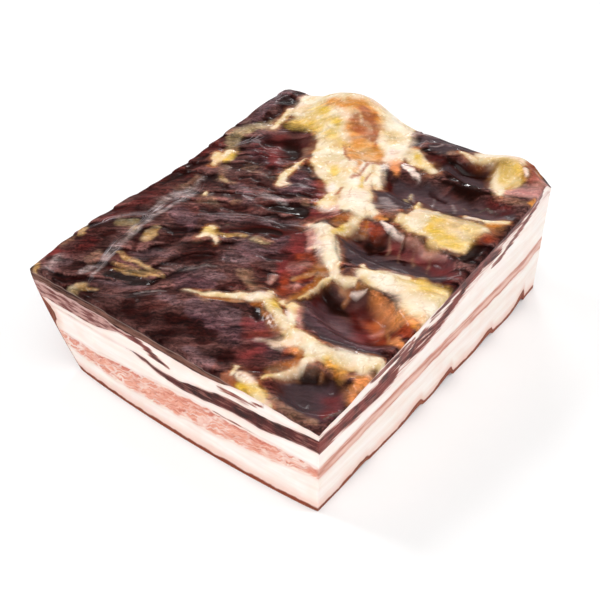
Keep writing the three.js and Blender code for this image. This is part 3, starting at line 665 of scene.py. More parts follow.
# Wet places with small glints
WET_SPOTS = [
    [(39, 61.6, 4), (46, 62.6, 5), (53, 64, 4)],
    [(32, 72, 3), (40, 73, 3)],
    [(56, -50, 4), (63, -48, 6), (70, -50, 6)],
    [(63, -56, 4), (69, -54, 4)],
    [(-44, -68, 5), (-36, -66.4, 5), (-27, -63, 5)],
    [(65, 30, 4), (67, 24, 5), (66, 20, 4)],
    [(20, -51, 3), (28, -54, 2.4)],
    [(23, 17, 4), (27, 14, 3)],
    [(30, -19.6, 1.2), (36, -18.8, 1.4)],
    [(64, 83, 5), (67, 78, 5)],
    [(-9, 5, 4), (-4, 6, 4)],
    [(48, -64, 1.6), (44, -74, 1.4)],
]

# Lean that shows in the fat of the front cut, as (x, z, width), and all dark lean of the right cut,
# as (y, z, width)
FRONT_STREAKS = [
    [(-32, 35.6, 1.6), (-26, 36.2, 2.2), (-18, 36, 2.6), (-11, 35, 2.4), (-6, 33.4, 1.9), (-2, 31.6, 1.3),
     (4, 30.6, 0.7)],
    [(28, 34.5, 0.7), (36, 34.7, 1.1), (42, 34.3, 0.7), (46, 35.6, 1), (49, 37.4, 1.1)],
    [(27, 21.4, 0.6), (35, 21.8, 1), (45, 21.4, 0.6)],
]
RIGHT_LEAN = [
    [(-88, 32.2, 6.6), (-70, 32.4, 6.6), (-56, 32.5, 6.6), (-45, 32.5, 6.2), (-39.5, 32, 4.6),
     (-36, 33.2, 2.4)],
    [(-47, 34.6, 4), (-40, 36, 4), (-34, 37.4, 4), (-29, 39.6, 3), (-26, 41.4, 1.6)],
    [(-33, 35.6, 3), (-27, 35.4, 3.4), (-22, 34, 2.6), (-14, 34.4, 2.2), (-7, 35.8, 2)],
    [(-28, 36.6, 2.4), (-24, 39, 3), (-19, 40, 2.6), (-14, 38.6, 2.4), (-9, 37.4, 2.4)],
    [(-23, 36.6, 2), (-16, 36.5, 1.6)],
    [(-13, 36.8, 2), (-6, 38.2, 4), (2, 40.4, 4.6), (9, 43, 4.4)],
    [(9, 44.6, 4), (15, 46, 5.4), (22, 47, 5)],
    [(-53, 40.2, 0.8), (-45, 40.4, 1.6), (-36, 40.8, 1.8), (-29, 42.4, 1)],
    [(-14, 43.4, 0.8), (-8, 44.4, 1.8), (-2, 45.4, 2.8), (6, 46.6, 3), (14, 47.6, 3), (22, 48.6, 3)],
    [(20, 48.2, 3), (26, 47.6, 4.4), (32, 46.8, 4.4), (39, 46.4, 1.8)],
    [(24, 49.2, 2), (34, 50.2, 2.4), (44, 51.4, 3), (54, 52.8, 3.2), (64, 54.8, 3), (74, 56.6, 2.4)],
    [(33, 41.6, 1), (40, 42.2, 1.6), (46, 44.4, 1.8), (52, 46.8, 2.6), (58, 48.8, 2.6), (66, 52.2, 2.8),
     (74, 55, 2.4)],
]
# The skin's thickness over the rind face, and on the left edge at heights up it, as (z, thickness)
SKIN_UNDER, SKIN_AT_SCALLOP = 1.8, 0.75
SKIN_LEFT = [
    (9, -2), (12, -0.6), (16, 0.8), (19, 2), (21.5, 4.6),
    (24.5, 5.6), (27, 4.6), (29, 2), (30, -1), (31, -12),
]
# How high the skin covers the left face, how deep it counts as there, and how deep that face is dried, in mm
SKIN_LEFT_TOP, SKIN_OUTSIDE, DRIED_DEPTH = 30, 2, 1.2


def paint(red, green, blue):
    """A colour seen on a screen, 0 to 255, as the shader's own numbers."""
    def linear(value):
        value /= 255
        return value / 12.92 if value <= 0.04045 else ((value + 0.055) / 1.055) ** 2.4
    return (linear(red), linear(green), linear(blue), 1)


def pigment(colour):
    """A colour seen on a screen, for mixing into the tint of the tissues."""
    return np.array(paint(*colour)[:3])


def ramp(place, between):
    """A smooth change from 0 to 1 between two places."""
    share = np.clip((place - between[0]) / (between[1] - between[0]), 0, 1)
    return share * share * (3 - 2 * share)


def arch(place, between):
    """A smooth swell from 0 to 1 and back to 0 between two places."""
    return np.abs(np.sin(np.pi * np.clip((place - between[0]) / (between[1] - between[0]), 0, 1)))


def lerp(a, b, share):
    return a + (b - a) * share


def across_ellipse(feature, x, y):
    """Where x, y lie in an ellipse: -1 to 1 along it and across it."""
    turn = math.radians(feature["turn"])
    dx, dy = x - feature["x"], y - feature["y"]
    along = (dx * math.cos(turn) + dy * math.sin(turn)) / (feature["length"] / 2)
    across = (dy * math.cos(turn) - dx * math.sin(turn)) / (feature["width"] / 2)
    return along, across


def ellipse(feature, x, y, wall=1.0):
    """1 inside an ellipse, falling to 0 at its rim; wall is the falling share."""
    return ramp(1 - np.hypot(*across_ellipse(feature, x, y)), (0, wall))


def chain_field(chains, x, y):
    """How far inside the nearest chain of places a point lies, in mm; negative outside."""
    inside = np.full(x.shape, -FAR)
    for chain in chains:
        for (ax, ay, a_width), (bx, by, b_width) in zip(chain, chain[1:] or chain):
            run = max((bx - ax) ** 2 + (by - ay) ** 2, LEAST_RUN)
            share = np.clip(((x - ax) * (bx - ax) + (y - ay) * (by - ay)) / run, 0, 1)
            away = np.hypot(x - lerp(ax, bx, share), y - lerp(ay, by, share))
            inside = np.maximum(inside, lerp(a_width, b_width, share) / 2 - away)
    return inside


def seam(line, x, y):
    """1 on a seam's line, falling to 0 at half its width."""
    half = line["width"] / 2
    inside = chain_field([[(px, py, line["width"]) for px, py in line["path"]]], x, y)
    return ramp(inside / half, (0, 1))


def grain(x, y, z, size, seed):
    """Smooth noise from -1 to 1, with lumps of about that size in mm."""
    shift = Vector([seed * step for step in SEED_STEP])
    spots = np.stack(np.broadcast_arrays(x, y, z), -1) / size
    return np.array([noise.noise(Vector(spot) + shift) for spot in spots])


def lumpy(lumps, x, y, z=0):
    """Noise of several sizes added up. Of each: its height and its size, in mm, and its seed."""
    return sum(height * grain(x, y, z, size, seed) for height, size, seed in lumps)


def smooth_top(x, y):
    """The top face without its hollows and seams."""
    u, v = np.clip((x - LEFT) / WIDTH, 0, 1), np.clip((y - FRONT) / DEPTH, 0, 1)
    front = lerp(TOP_AT["front_left"], TOP_AT["front_right"], u)
    back = lerp(TOP_AT["back_left"], TOP_AT["back_right"], u)
    wave = np.cos(2 * np.pi * (y - LEFT_ROLL["crest"]) / LEFT_ROLL["pitch"])
    near_right = ramp(x, (RIGHT - CORNER_DROP["reach"], RIGHT))
    near_back = ramp(y, (BACK - CORNER_DROP["reach"], BACK))
    return (
        lerp(front, back, v)
        + LEFT_ROLL["rise"] * wave * ramp(x, (LEFT + LEFT_ROLL["reach"], LEFT))
        + BACK_SWELL["rise"] * ramp(x, BACK_SWELL["across"]) * ramp(y, BACK_SWELL["along"])
        + HUMP["rise"] * ellipse(HUMP, x, y)
        + KNOB["rise"] * ellipse(KNOB, x, y)
        - LEFT_EDGE_DROP * ramp(x, (LEFT + LEFT_EDGE_ROUND, LEFT))
        - BACK_EDGE_DROP * ramp(y, (BACK - BACK_EDGE_ROUND, BACK))
        - CORNER_DROP["depth"] * near_right * near_back
    )


def sunk(x, y):
    """How far the hollows sink the top face."""
    fade = lerp(1, HOLLOW_AT_CUT, ramp(x, (RIGHT - HOLLOW_FADE, RIGHT)))
    deepest = SUNK_PATCH["depth"] * ellipse(SUNK_PATCH, x, y)
    for hollow in RIB_HOLLOWS:
        deepest = np.maximum(deepest, fade * hollow["depth"] * ellipse(hollow, x, y, HOLLOW_WALL))
    return deepest


def top_face(x, y):
    rises = [line["rise"] * seam(line, x, y) for line in FAT_SEAMS]
    return smooth_top(x, y) - sunk(x, y) + np.max(rises, axis=0)


def rind_face(x, y):
    """The underside: flat, but along the right-hand cut it lifts and drops back once for each scallop."""
    lifts = [
        rise * ramp(y, (peak - SCALLOP_LIFT, peak)) * ramp(y, (peak + SCALLOP_DROP, peak))
        for peak, rise in SCALLOPS.items()
    ]
    return ramp(x, (RIGHT - SCALLOP_REACH, RIGHT)) * np.max(lifts, axis=0)


def top_lean_floor(x, y):
    places = TOP_LEAN_PLACES
    belly = lerp(TOP_LEAN["belly"], TOP_LEAN["middle"], ramp(x, places["thins"]))
    near_cut = np.maximum(ramp(x, places["right_cut"]), ramp(y, places["front_cut"]))
    ribs = lerp(TOP_LEAN["ribs"], TOP_LEAN["at_cut"], near_cut)
    return smooth_top(x, y) - sunk(x, y) - lerp(belly, ribs, ramp(x, places["ribs"]))


def middle_lean_thickness(x, y):
    back_share = lerp(1, MIDDLE_LEAN["back_share"], ramp(y, MIDDLE_LEAN_PLACES["thins"]))
    return MIDDLE_LEAN["thick"] * ramp(x, MIDDLE_LEAN_PLACES["thickens"]) * back_share


def middle_lean_roof(x, y):
    places = MIDDLE_LEAN_PLACES
    floor = (
        MIDDLE_LEAN["floor"]
        + MIDDLE_LEAN["tip_rise"] * (1 - ramp(x, places["tip_falls"]))
        - MIDDLE_LEAN["dip"] * arch(x, places["dips"])
        + MIDDLE_LEAN["cut_rise"] * ramp(x, places["rises"])
        + MIDDLE_LEAN["climb"] * ramp(y, places["climbs"])
    )
    return np.minimum(floor + middle_lean_thickness(x, y), top_lean_floor(x, y) - LEAST_FAT)


def middle_lean_floor(x, y):
    return middle_lean_roof(x, y) - middle_lean_thickness(x, y)


def lower_lean_roof(x, y):
    front = LOWER_LEAN["roof"] - LOWER_LEAN["dip"] * (1 - ramp(x, LOWER_LEAN_PLACES["rises"]))
    climb = LOWER_LEAN["climb"] * (y - FRONT) / DEPTH
    return np.minimum(front + climb, middle_lean_floor(x, y) - LEAST_FAT)


def lower_lean_floor(x, y):
    swell = arch(x, LOWER_LEAN_PLACES["swells"]) ** LOWER_LEAN["fullness"]
    return lower_lean_roof(x, y) - LOWER_LEAN["thick"] - LOWER_LEAN["swell"] * swell


# How much each face between two sheets wanders, in mm, with a seed of its own
WANDER = {
    top_lean_floor: (0.7, 1),
    middle_lean_roof: (0.8, 2),
    middle_lean_floor: (0.8, 3),
    lower_lean_roof: (0.8, 4),
    lower_lean_floor: (1.2, 5),
}
# The sheets from the top down: the faces over and under each, and its rows of cells
SHEETS = {
    "lean_top": {"floor": top_lean_floor, "rows": 10},
    "fat_upper": {"roof": top_lean_floor, "floor": middle_lean_roof, "rows": 9},
    "lean_middle": {"roof": middle_lean_roof, "floor": middle_lean_floor, "rows": 8},
    "fat_middle": {"roof": middle_lean_floor, "floor": lower_lean_roof, "rows": 14},
    "lean_lower": {"roof": lower_lean_roof, "floor": lower_lean_floor, "rows": 12},
    "fat_lower": {"roof": lower_lean_floor, "rows": 18},
}


# How far places on the top are pushed to the side and along, as lumps
WARP_ACROSS = ((1.5, 9, 11), (0.8, 4, 13))
WARP_ALONG = ((1.5, 9, 12), (0.8, 4, 14))


def warp(x, y):
    """Places on the top pushed about a little, so that the tissues' outlines wander."""
    return x + lumpy(WARP_ACROSS, x, y), y + lumpy(WARP_ALONG, x, y)


# The muscle fibres run at this angle to X, and bend by this much over this length, in mm
FIBRE_TURN, FIBRE_BEND, FIBRE_BEND_SIZE = math.radians(34), 14, 38


def along_fibres(x, y):
    """How far a place lies along the muscle fibres and across them; the fibres bend a little."""
    bent_x = x + FIBRE_BEND * grain(x, y, 0, FIBRE_BEND_SIZE, 7)
    bent_y = y + FIBRE_BEND * grain(x, y, 0, FIBRE_BEND_SIZE, 8)
    along = bent_x * math.cos(FIBRE_TURN) + bent_y * math.sin(FIBRE_TURN)
    across = bent_y * math.cos(FIBRE_TURN) - bent_x * math.sin(FIBRE_TURN)
    return along, across


def fibre(x, y, length, width, seed):
    """Ridges that run the way the muscle fibres do."""
    along, across = along_fibres(x, y)
    return grain(along / length, across / width, 0, 1, seed)


# The sheets of lean that overlap: how far apart, and as shares, how steep their near edge and their middle
FOLD_PITCH, FOLD_EDGE, FOLD_MIDDLE = 8.5, 0.07, 0.45
# How far the folds wander, as (reach, size, seed), and the length and width of the places where they show
FOLD_WANDER = ((5, 18, 31), (1.2, 6, 32))
FOLD_LENGTH, FOLD_WIDTH = 24, 10


def folds(x, y):
    """The sheets of lean that overlap: 1 at a sheet's near edge, falling to 0 under the next sheet."""
    along, across = along_fibres(x, y)
    for reach, size, seed in FOLD_WANDER:
        across = across + reach * grain(x, y, 0, size, seed)
    share = np.mod(across / FOLD_PITCH, 1)
    clear = ramp(grain(along / FOLD_LENGTH, across / FOLD_WIDTH, 0, 1, 33), (-0.3, 0.25))
    return lerp(0.5, ramp(share, (0, FOLD_EDGE)) * (1 - share), clear)


# The bare lean of the top, from its darkest to its palest, and the red that clouds it
LEAN_TONES = ((32, 3, 2), (98, 64, 60))
RED_LEAN, MOST_RED = (86, 34, 28), 0.45
# How wet bare lean and the glints are, and the brightest tint
LEAN_WET, GLINT_WET, BRIGHTEST = 0.02, 0.9, 0.95
# How hard and how soft the tissues' edges get, how soft they are in the hollows, and the hardest edge, in mm
HARD_EDGE, SOFT_EDGE, HOLLOW_EDGE, LEAST_SOFT = 0.4, 1.8, 1.1, 0.35
# What a narrow chain takes of its tissue's look, for each mm of its width
PER_WIDTH = {"soft": 0.14, "reach": 0.25, "thins": 0.2, "fray": 0.3, "swell": 0.1}
SOFT_AT_LEAST = 0.2
# Unevenness of the dried top: lumps as (strength, size, seed) and fibres as (strength, length, width, seed),
# with sizes in mm, and how strongly the folds show in it. In the tone and the mottle the folds are painted
# light
# and shade: a pale crest at each sheet's near edge, darkening to painted shade under the next sheet.
LEAN_TONE = {"lumps": (0.5, 14, 41), "fibres": (0.3, 13, 3.4, 42), "folds": 1.1}
LEAN_REDNESS = {"lumps": (1, 17, 55), "fibres": (0.4, 16, 4, 56)}
TISSUE_EDGE = {"lumps": (0.5, 5, 45), "fibres": (0.9, 9, 1.7, 44)}
TISSUE_GAPS = {"lumps": (0.5, 5, 48), "fibres": (0.9, 8, 1.6, 47)}
MOTTLE = {"lumps": (0.4, 5, 49), "fibres": (0.6, 12, 2, 50), "folds": 1.2}


def uneven(kind, x, y, fold):
    """Lumps, fibres and folds of one kind of unevenness added up."""
    lump_strength, size, lump_seed = kind["lumps"]
    fibre_strength, length, width, fibre_seed = kind["fibres"]
    lumps = lump_strength * grain(x, y, 0, size, lump_seed)
    fibres = fibre_strength * fibre(x, y, length, width, fibre_seed)
    return lumps + fibres + kind.get("folds", 0) * (fold - FOLD_MIDDLE)


def lay_tissues(x, y):
    """The tissues, with their painted sheen, highlights and shade, laid over the lean one after the other:
    the colour, wetness, fat and rise there.
    """
    fold = folds(x, y)
    dark, pale = (pigment(colour) for colour in LEAN_TONES)
    # The folds in the tone paint a pale crest at each sheet's near edge and painted shade under the next
    # sheet
    tint = lerp(dark, pale, ramp(uneven(LEAN_TONE, x, y, fold), (-0.45, 0.6))[:, None])
    rosy = MOST_RED * ramp(uneven(LEAN_REDNESS, x, y, fold), (0, 0.5))
    laid = {
        "tint": lerp(tint, pigment(RED_LEAN), rosy[:, None]),
        "wet": np.full(x.shape, LEAN_WET),
        "fat": np.zeros(x.shape),
        "rise": np.zeros(x.shape),
        "calm": ramp(sunk(x, y), (0.1, 1.6)),
        "fold": fold,
    }
    warped = warp(x, y)
    ragged = uneven(TISSUE_EDGE, x, y, fold)
    softer = lerp(HARD_EDGE, SOFT_EDGE, ramp(grain(x, y, 0, 9, 46), (-0.2, 0.6)))
    softer = lerp(softer, HOLLOW_EDGE, laid["calm"])
    gaps = ramp(uneven(TISSUE_GAPS, x, y, fold), (-0.5, 0.3))

    def lay(look, chains, reach=0.0, thins=0.0, smooth=False):
        colour, cover, softness, fray, broken, rise, wet, fat = look
        mask, swell = np.zeros(x.shape), np.zeros(x.shape)
        for chain in chains:
            width = sum(width for _, _, width in chain) / len(chain)
            own = {part: share * width for part, share in PER_WIDTH.items()}
            soft = softness * min(1, SOFT_AT_LEAST + own["soft"]) * lerp(softer, 1, 0.6 * fat)
            inside = chain_field([chain], *warped) + reach * min(1, own["reach"]) - min(thins, own["thins"])
            frayed = inside + min(fray, own["fray"]) * ragged
            mask = np.maximum(mask, ramp(frayed / np.maximum(soft, LEAST_SOFT), (-1, 1)))
            swell = np.maximum(swell, ramp(inside, (-1 - own["swell"], 1 + own["swell"])))
        mask *= cover * lerp(1, gaps, broken)
        laid["tint"] = lerp(laid["tint"], pigment(colour), mask[:, None])
        laid["wet"] = lerp(laid["wet"], wet, mask)
        laid["fat"] = lerp(laid["fat"], fat, mask)
        if smooth:
            laid["calm"] = np.maximum(laid["calm"], mask)
        laid["rise"] = lerp(laid["rise"], rise, cover * swell)

    for name, look in LOOKS.items():
        is_cream = name == "cream"
        if is_cream:
            for rim_look, reach in FAT_RIMS:
                lay(rim_look, CHAINS[name], reach)
        lay(look, CHAINS[name], thins=FAT_THINS if is_cream else 0, smooth=name in SMOOTH_TISSUES)
    silk = chain_field(SILK["chains"], x + SILK["drift"] * grain(x, y, 0, 14, 53), y)
    laid["silk"] = np.maximum(silk, -1)
    laid["silky"] = ramp(silk, (-0.5, 2)) * ramp(grain(x, y, 0, 9, 54), (-0.5, 0.2)) * (1 - laid["fat"])
    # The folds in the mottle darken the tint again under each sheet: painted shade
    mottle = uneven(MOTTLE, x, y, fold)
    contrast = lerp(0.8, 0.1, laid["fat"]) * (1 - 0.6 * laid["calm"])
    laid["tint"] = np.clip(laid["tint"] * np.exp(contrast * mottle)[:, None], 0, BRIGHTEST)
    laid["glint"] = ramp(chain_field(WET_SPOTS, *warped), (-1, 1.5))
    laid["wet"] = lerp(laid["wet"], GLINT_WET, laid["glint"])
    return laid


# The relief of the dried top, in mm. Lumps are given as (height, size, seed).
TOP_LUMPS = ((0.45, 10, 21), (0.25, 4.5, 22))
FAT_LUMPS = ((0.4, 8, 23), (0.16, 3, 27))
BACK_WALL_DROP, BACK_WALL = 2.8, 0.35
FOLD_RISE, FIBRE_RISE, PIMPLE_RISE, GLINT_RISE = 0.9, 0.4, 0.15, 0.28


def top_relief(x, y, laid):
    """Folds, lumps, fibres and the rise of the tissues on the dried top."""
    lean = (1 - laid["fat"]) * (1 - 0.85 * laid["calm"])
    back_wall = np.zeros(x.shape)
    for rib in RIB_HOLLOWS:
        far_side = lerp(0.1, 1, ramp(across_ellipse(rib, x, y)[1], (-0.8, 0.5)))
        steep = rib.get("wall", 1) * ellipse(rib, x, y, BACK_WALL) * far_side
        back_wall = np.maximum(back_wall, steep)
    fibres = FIBRE_RISE * fibre(x, y, 18, 5, 24) + PIMPLE_RISE * grain(x, y, 0, 3, 25)
    return (
        lumpy(TOP_LUMPS, x, y) * (1 - 0.7 * laid["calm"])
        - BACK_WALL_DROP * back_wall * (1 - 0.9 * laid["fat"])
        + laid["rise"]
        + laid["fat"] * lumpy(FAT_LUMPS, x, y)
        + lean * (FOLD_RISE * (laid["fold"] - FOLD_MIDDLE) + fibres)
        + GLINT_RISE * laid["glint"] * grain(x, y, 0, 1.7, 26)
    )


# The left edge: its lumps, and behind the front cut, where they and the wobble of the skin set in, in mm
LEFT_LUMPS = ((0.9, 15, 62), (0.45, 5, 63))
LUMPS_SET_IN, WOBBLE_SETS_IN = (FRONT + 5, FRONT + 16), (FRONT + 4, FRONT + 20)


def left_swell(y, z):
    """How far the left edge swells in and out, in mm; it is still at the front cut."""
    return ramp(y, LUMPS_SET_IN) * lumpy(LEFT_LUMPS, 0, y, z)


def grid_box(rows, across, finer_top):
    """A unit box cut into cells, with its upright corner edges marked sharp."""
    def on_top(edge):
        return min(v.co.z for v in edge.verts) > 1 - AT_EDGE

    box = bmesh.new()
    bmesh.ops.create_cube(box, size=1)
    bmesh.ops.translate(box, verts=box.verts, vec=(0.5, 0.5, 0.5))
    for axis, cells in enumerate((across, CELLS_ALONG, rows)):
        running = [e for e in box.edges if abs(e.verts[0].co[axis] - e.verts[1].co[axis]) > 0.5]
        bmesh.ops.subdivide_edges(box, edges=running, cuts=cells - 1, use_grid_fill=True)
    if finer_top:
        top = [e for e in box.edges if on_top(e)]
        bmesh.ops.subdivide_edges(box, edges=top, cuts=1, use_grid_fill=True)
    for face in box.faces:
        face.smooth = True
    for edge in box.edges:
        if len(edge.link_faces) == 2 and edge.calc_face_angle(0) > SHARP_ANGLE:
            edge.smooth = finer_top and on_top(edge)
    return box


def place_sheet(name, s, t, w):
    """Where the corners of a sheet's box go, in mm, and the fields of the tissues on it."""
    sheet = SHEETS[name]
    if name == "lean_middle":
        s = lerp(TIP_SHARE, 1, s)
    flat_x, flat_y = lerp(LEFT, RIGHT, s), lerp(FRONT + FRONT_SETBACK, BACK, t)
    chamfer = (
        CORNER_CHAMFER["depth"]
        * ramp(flat_x, CORNER_CHAMFER["across"])
        * ramp(flat_y, CORNER_CHAMFER["along"])
    )
    at_tip = s < TIP_SHARE - AT_EDGE
    wander = {
        face: reach * lumpy(((0.65, 8, seed), (0.35, 3.2, seed + 30)), flat_x, flat_y)
        for face, (reach, seed) in WANDER.items()
        if face in (sheet.get("roof"), sheet.get("floor"))
    }

    def face_height(face, x, y):
        height = face(x, y) + wander[face]
        if face is middle_lean_floor:
            roof = middle_lean_roof(x, y)
            taper = lerp(MIDDLE_LEAN["tip_share"], 1, ramp(x, MIDDLE_LEAN_PLACES["tapers"]))
            thick = np.maximum(middle_lean_thickness(x, y) * taper - wander[face], LEAST_SHEET)
            height = roof - np.where(at_tip, 0, thick)
        return height

    x, y = flat_x, flat_y
    on_left = s < AT_EDGE
    is_top = "roof" not in sheet
    fields = {}
    if is_top:
        fields = lay_tissues(np.where(on_left, flat_x - (1 - w) * TOP_LEAN["belly"], flat_x), flat_y)
        to_sides = np.minimum(flat_x - LEFT, RIGHT - flat_x)
        to_ends = np.minimum(flat_y - FRONT - FRONT_SETBACK, BACK - flat_y)
        inset = np.clip(RIM_ROUND - np.minimum(to_sides, to_ends), 0, RIM_ROUND)
        rim = RIM_ROUND - np.sqrt(RIM_ROUND**2 - inset**2)
        top = top_face(flat_x, flat_y) + top_relief(flat_x, flat_y, fields) - rim
    for _ in range(SETTLE_STEPS):
        roof = top if is_top else face_height(sheet["roof"], x, y)
        floor = face_height(sheet["floor"], x, y) if "floor" in sheet else rind_face(flat_x, flat_y)
        if is_top:
            roof = np.maximum(roof, floor + LEAST_SHEET)
        z = lerp(floor, roof, w)
        low = np.clip(1 - z / UNDERCUT_HEIGHT, 0, 1)
        left = LEFT + UNDERCUT * low**UNDERCUT_CURVE
        left[on_left] += left_swell(flat_y[on_left], z[on_left])
        front = FRONT + FRONT_SETBACK * (1 - low * arch(s, (0, 1)) ** FRONT_FULLNESS)
        x, y = lerp(left, RIGHT - chamfer, s), lerp(front, BACK - chamfer, t)
    if is_top:
        fields["depth"] = np.where(t < AT_EDGE, top - z, np.minimum(top - z, x - left))
        fields["depth"][s > 1 - AT_EDGE] = 0
    fields.update(cut_fields(x, y, z, left, s, t, name == "lean_middle"))
    fields["from_roof"], fields["from_floor"] = roof - z, z - floor
    return x, y, z, fields


def cut_fields(x, y, z, left, s, t, is_dark_lean):
    """How deep the skin lies, and how far inside dark lean each place of the two seen cuts lies."""
    on_front, on_right = t < AT_EDGE, s > 1 - AT_EDGE
    climb = top_lean_floor(np.full(y.shape, LEFT), y) - top_lean_floor(LEFT, FRONT)
    wobble = 3 * grain(0, y, 0, 14, 61) + 1.2 * grain(0, y, z, 4, 64)
    up = z - climb - wobble * ramp(y, WOBBLE_SETS_IN)
    side = np.interp(up, *zip(*SKIN_LEFT)) - (x - left)
    side = np.where((s < AT_EDGE) & (up < SKIN_LEFT_TOP), SKIN_OUTSIDE, side)
    under = SKIN_UNDER + (1 + SKIN_AT_SCALLOP) * rind_face(x, y) - z
    dark_lean = np.full(x.shape, FAR if is_dark_lean else -FAR)
    if not is_dark_lean:
        dark_lean[on_front] = chain_field(FRONT_STREAKS, x[on_front], z[on_front])
    dark_lean[on_right] = chain_field(RIGHT_LEAN, y[on_right], z[on_right])
    return {
        "skin": np.maximum(side, under),
        "dark_lean": dark_lean,
        "right_cut": on_right.astype(float),
        "dried": 1 - ramp(x - left, (0, DRIED_DEPTH)),
    }


def mesh_of(name, box):
    mesh = bpy.data.meshes.new(name)
    box.to_mesh(mesh)
    box.free()
    return mesh


def add_object(name, data):
    made = bpy.data.objects.new(name, data)
    bpy.context.scene.collection.objects.link(made)
    return made


def make_sheet(name):
    """One sheet of lean or fat as a piece that stands for its CAD node."""
    across = CELLS_ACROSS - TIP_CELL if name == "lean_middle" else CELLS_ACROSS
    mesh = mesh_of(name + "_piece", grid_box(SHEETS[name]["rows"], across, finer_top=name == "lean_top"))
    unit = np.empty(len(mesh.vertices) * 3, np.float32)
    mesh.vertices.foreach_get("co", unit)
    s, t, w = unit.reshape(-1, 3).astype(float).T
    x, y, z, fields = place_sheet(name, s, t, w)
    mesh.vertices.foreach_set("co", (np.stack([x, y, z], -1) * MM).astype(np.float32).ravel())
    for field, values in fields.items():
        if values.ndim == 1:
            layer = mesh.attributes.new(field, "FLOAT", "POINT")
            layer.data.foreach_set("value", values.astype(np.float32))
        else:
            layer = mesh.attributes.new(field, "FLOAT_COLOR", "POINT")
            opaque = np.column_stack([values, np.ones(len(values))])
            layer.data.foreach_set("color", opaque.astype(np.float32).ravel())
    mesh.update()
    piece = add_object(name + "_piece", mesh)
    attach(piece, "root")
    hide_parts(name)
    return piece


class Wiring:
    """Short words for wiring the nodes of one material or node group."""

    def __init__(self, tree):
        self.tree = tree

    def feed(self, socket, value):
        if isinstance(value, bpy.types.NodeSocket):
            self.tree.links.new(value, socket)
        elif value is not None:
            socket.default_value = value

    def node(self, kind, inputs=(), **settings):
        made = self.tree.nodes.new("ShaderNode" + kind)
        for setting, value in settings.items():
            setattr(made, setting, value)
        for name, value in dict(inputs).items():
            self.feed(made.inputs[name], value)
        return made

    def math(self, operation, a, b=None):
        return self.node("Math", {0: a, 1: b}, operation=operation).outputs[0]

    def plus(self, a, b):
        return self.math("ADD", a, b)

    def minus(self, a, b):
        return self.math("SUBTRACT", a, b)

    def times(self, a, b):
        return self.math("MULTIPLY", a, b)

    def vector(self, operation, a, b):
        return self.node("VectorMath", {0: a, 1: b}, operation=operation).outputs[0]

    def scaled(self, vector, scale):
        return self.node("VectorMath", {0: vector, "Scale": scale}, operation="SCALE").outputs[0]

    def mix(self, share, a, b):
        return self.node("Mix", {0: share, 6: a, 7: b}, data_type="RGBA").outputs[2]

    def over(self, colour, mask, strength, laid):
        """A colour with another one laid over it where the mask is, as far as the strength goes."""
        return self.mix(self.times(mask, strength), colour, laid)

    def blend(self, share, a, b):
        return self.node("Mix", {0: share, 2: a, 3: b}, data_type="FLOAT").outputs[0]

    def between(self, value, low, high):
        made = self.node("MapRange", {0: value, 1: low, 2: high}, interpolation_type="SMOOTHSTEP")
        return made.outputs[0]

    def swing(self, value, reach):
        """Noise from 0 to 1 made a swing to both sides of zero, over the given reach in all."""
        return self.times(self.minus(value, 0.5), reach)

    def field(self, name, output="Fac"):
        return self.node("Attribute", attribute_name=name).outputs[output]

    def from_faces(self):
        """How far a place lies from the nearer face of its sheet, in mm."""
        return self.math("MINIMUM", self.field("from_roof"), self.field("from_floor"))

    def place(self):
        """Object coordinates in millimetres."""
        return self.scaled(self.node("TexCoord").outputs["Object"], 1 / MM)

    def stretch(self, place, lengths, turn=0.0):
        """Places turned about Z and measured in steps of the given lengths."""
        turned = self.node("VectorRotate", {"Vector": place, "Angle": -turn}, rotation_type="Z_AXIS")
        return self.vector("MULTIPLY", turned.outputs[0], tuple(1 / length for length in lengths))

    def noise(self, place, size, detail=2.0, roughness=0.5, output="Fac"):
        """Noise of about that lump size, 0 to 1 with 0.5 in the middle."""
        inputs = {"Vector": place, "Scale": 1 / size, "Detail": detail, "Roughness": roughness}
        return self.node("TexNoise", inputs).outputs[output]

    def streaks(self, place, lengths, detail=2.0, roughness=0.5, turn=0.0):
        """Noise drawn out to the given lengths along X, Y and Z."""
        return self.noise(self.stretch(place, lengths, turn), 1.0, detail, roughness)

    def pushed(self, place, size, reach):
        """Places pushed about by noise of that lump size."""
        push = self.scaled(self.noise(place, size, 3.0, output="Color"), reach)
        return self.vector("ADD", place, push)

    def cells(self, place, feature, output):
        return self.node("TexVoronoi", {"Vector": place, "Scale": 1.0}, feature=feature).outputs[output]

    def bumped(self, height, strength, distance_mm):
        inputs = {"Height": height, "Strength": strength, "Distance": distance_mm * MM}
        return self.node("Bump", inputs).outputs["Normal"]

    def group(self, shared, **inputs):
        return self.node("Group", inputs, node_tree=shared).outputs


def new_group(name, inputs, outputs):
    """An empty shader node group with named sockets, and its wiring."""
    tree = bpy.data.node_groups.new(name, "ShaderNodeTree")
    for socket, kind in inputs.items():
        tree.interface.new_socket(socket, in_out="INPUT", socket_type=kind)
    for socket, kind in outputs.items():
        tree.interface.new_socket(socket, in_out="OUTPUT", socket_type=kind)
    given = tree.nodes.new("NodeGroupInput").outputs
    return tree, Wiring(tree), given, tree.nodes.new("NodeGroupOutput").inputs


NUMBER, PLACE, COLOUR = "NodeSocketFloat", "NodeSocketVector", "NodeSocketColor"
# How far the edge of dark lean frays to both sides in all, and over how much it fades, in mm
LEAN_FRAY, LEAN_FADE = 4.4, 1.2


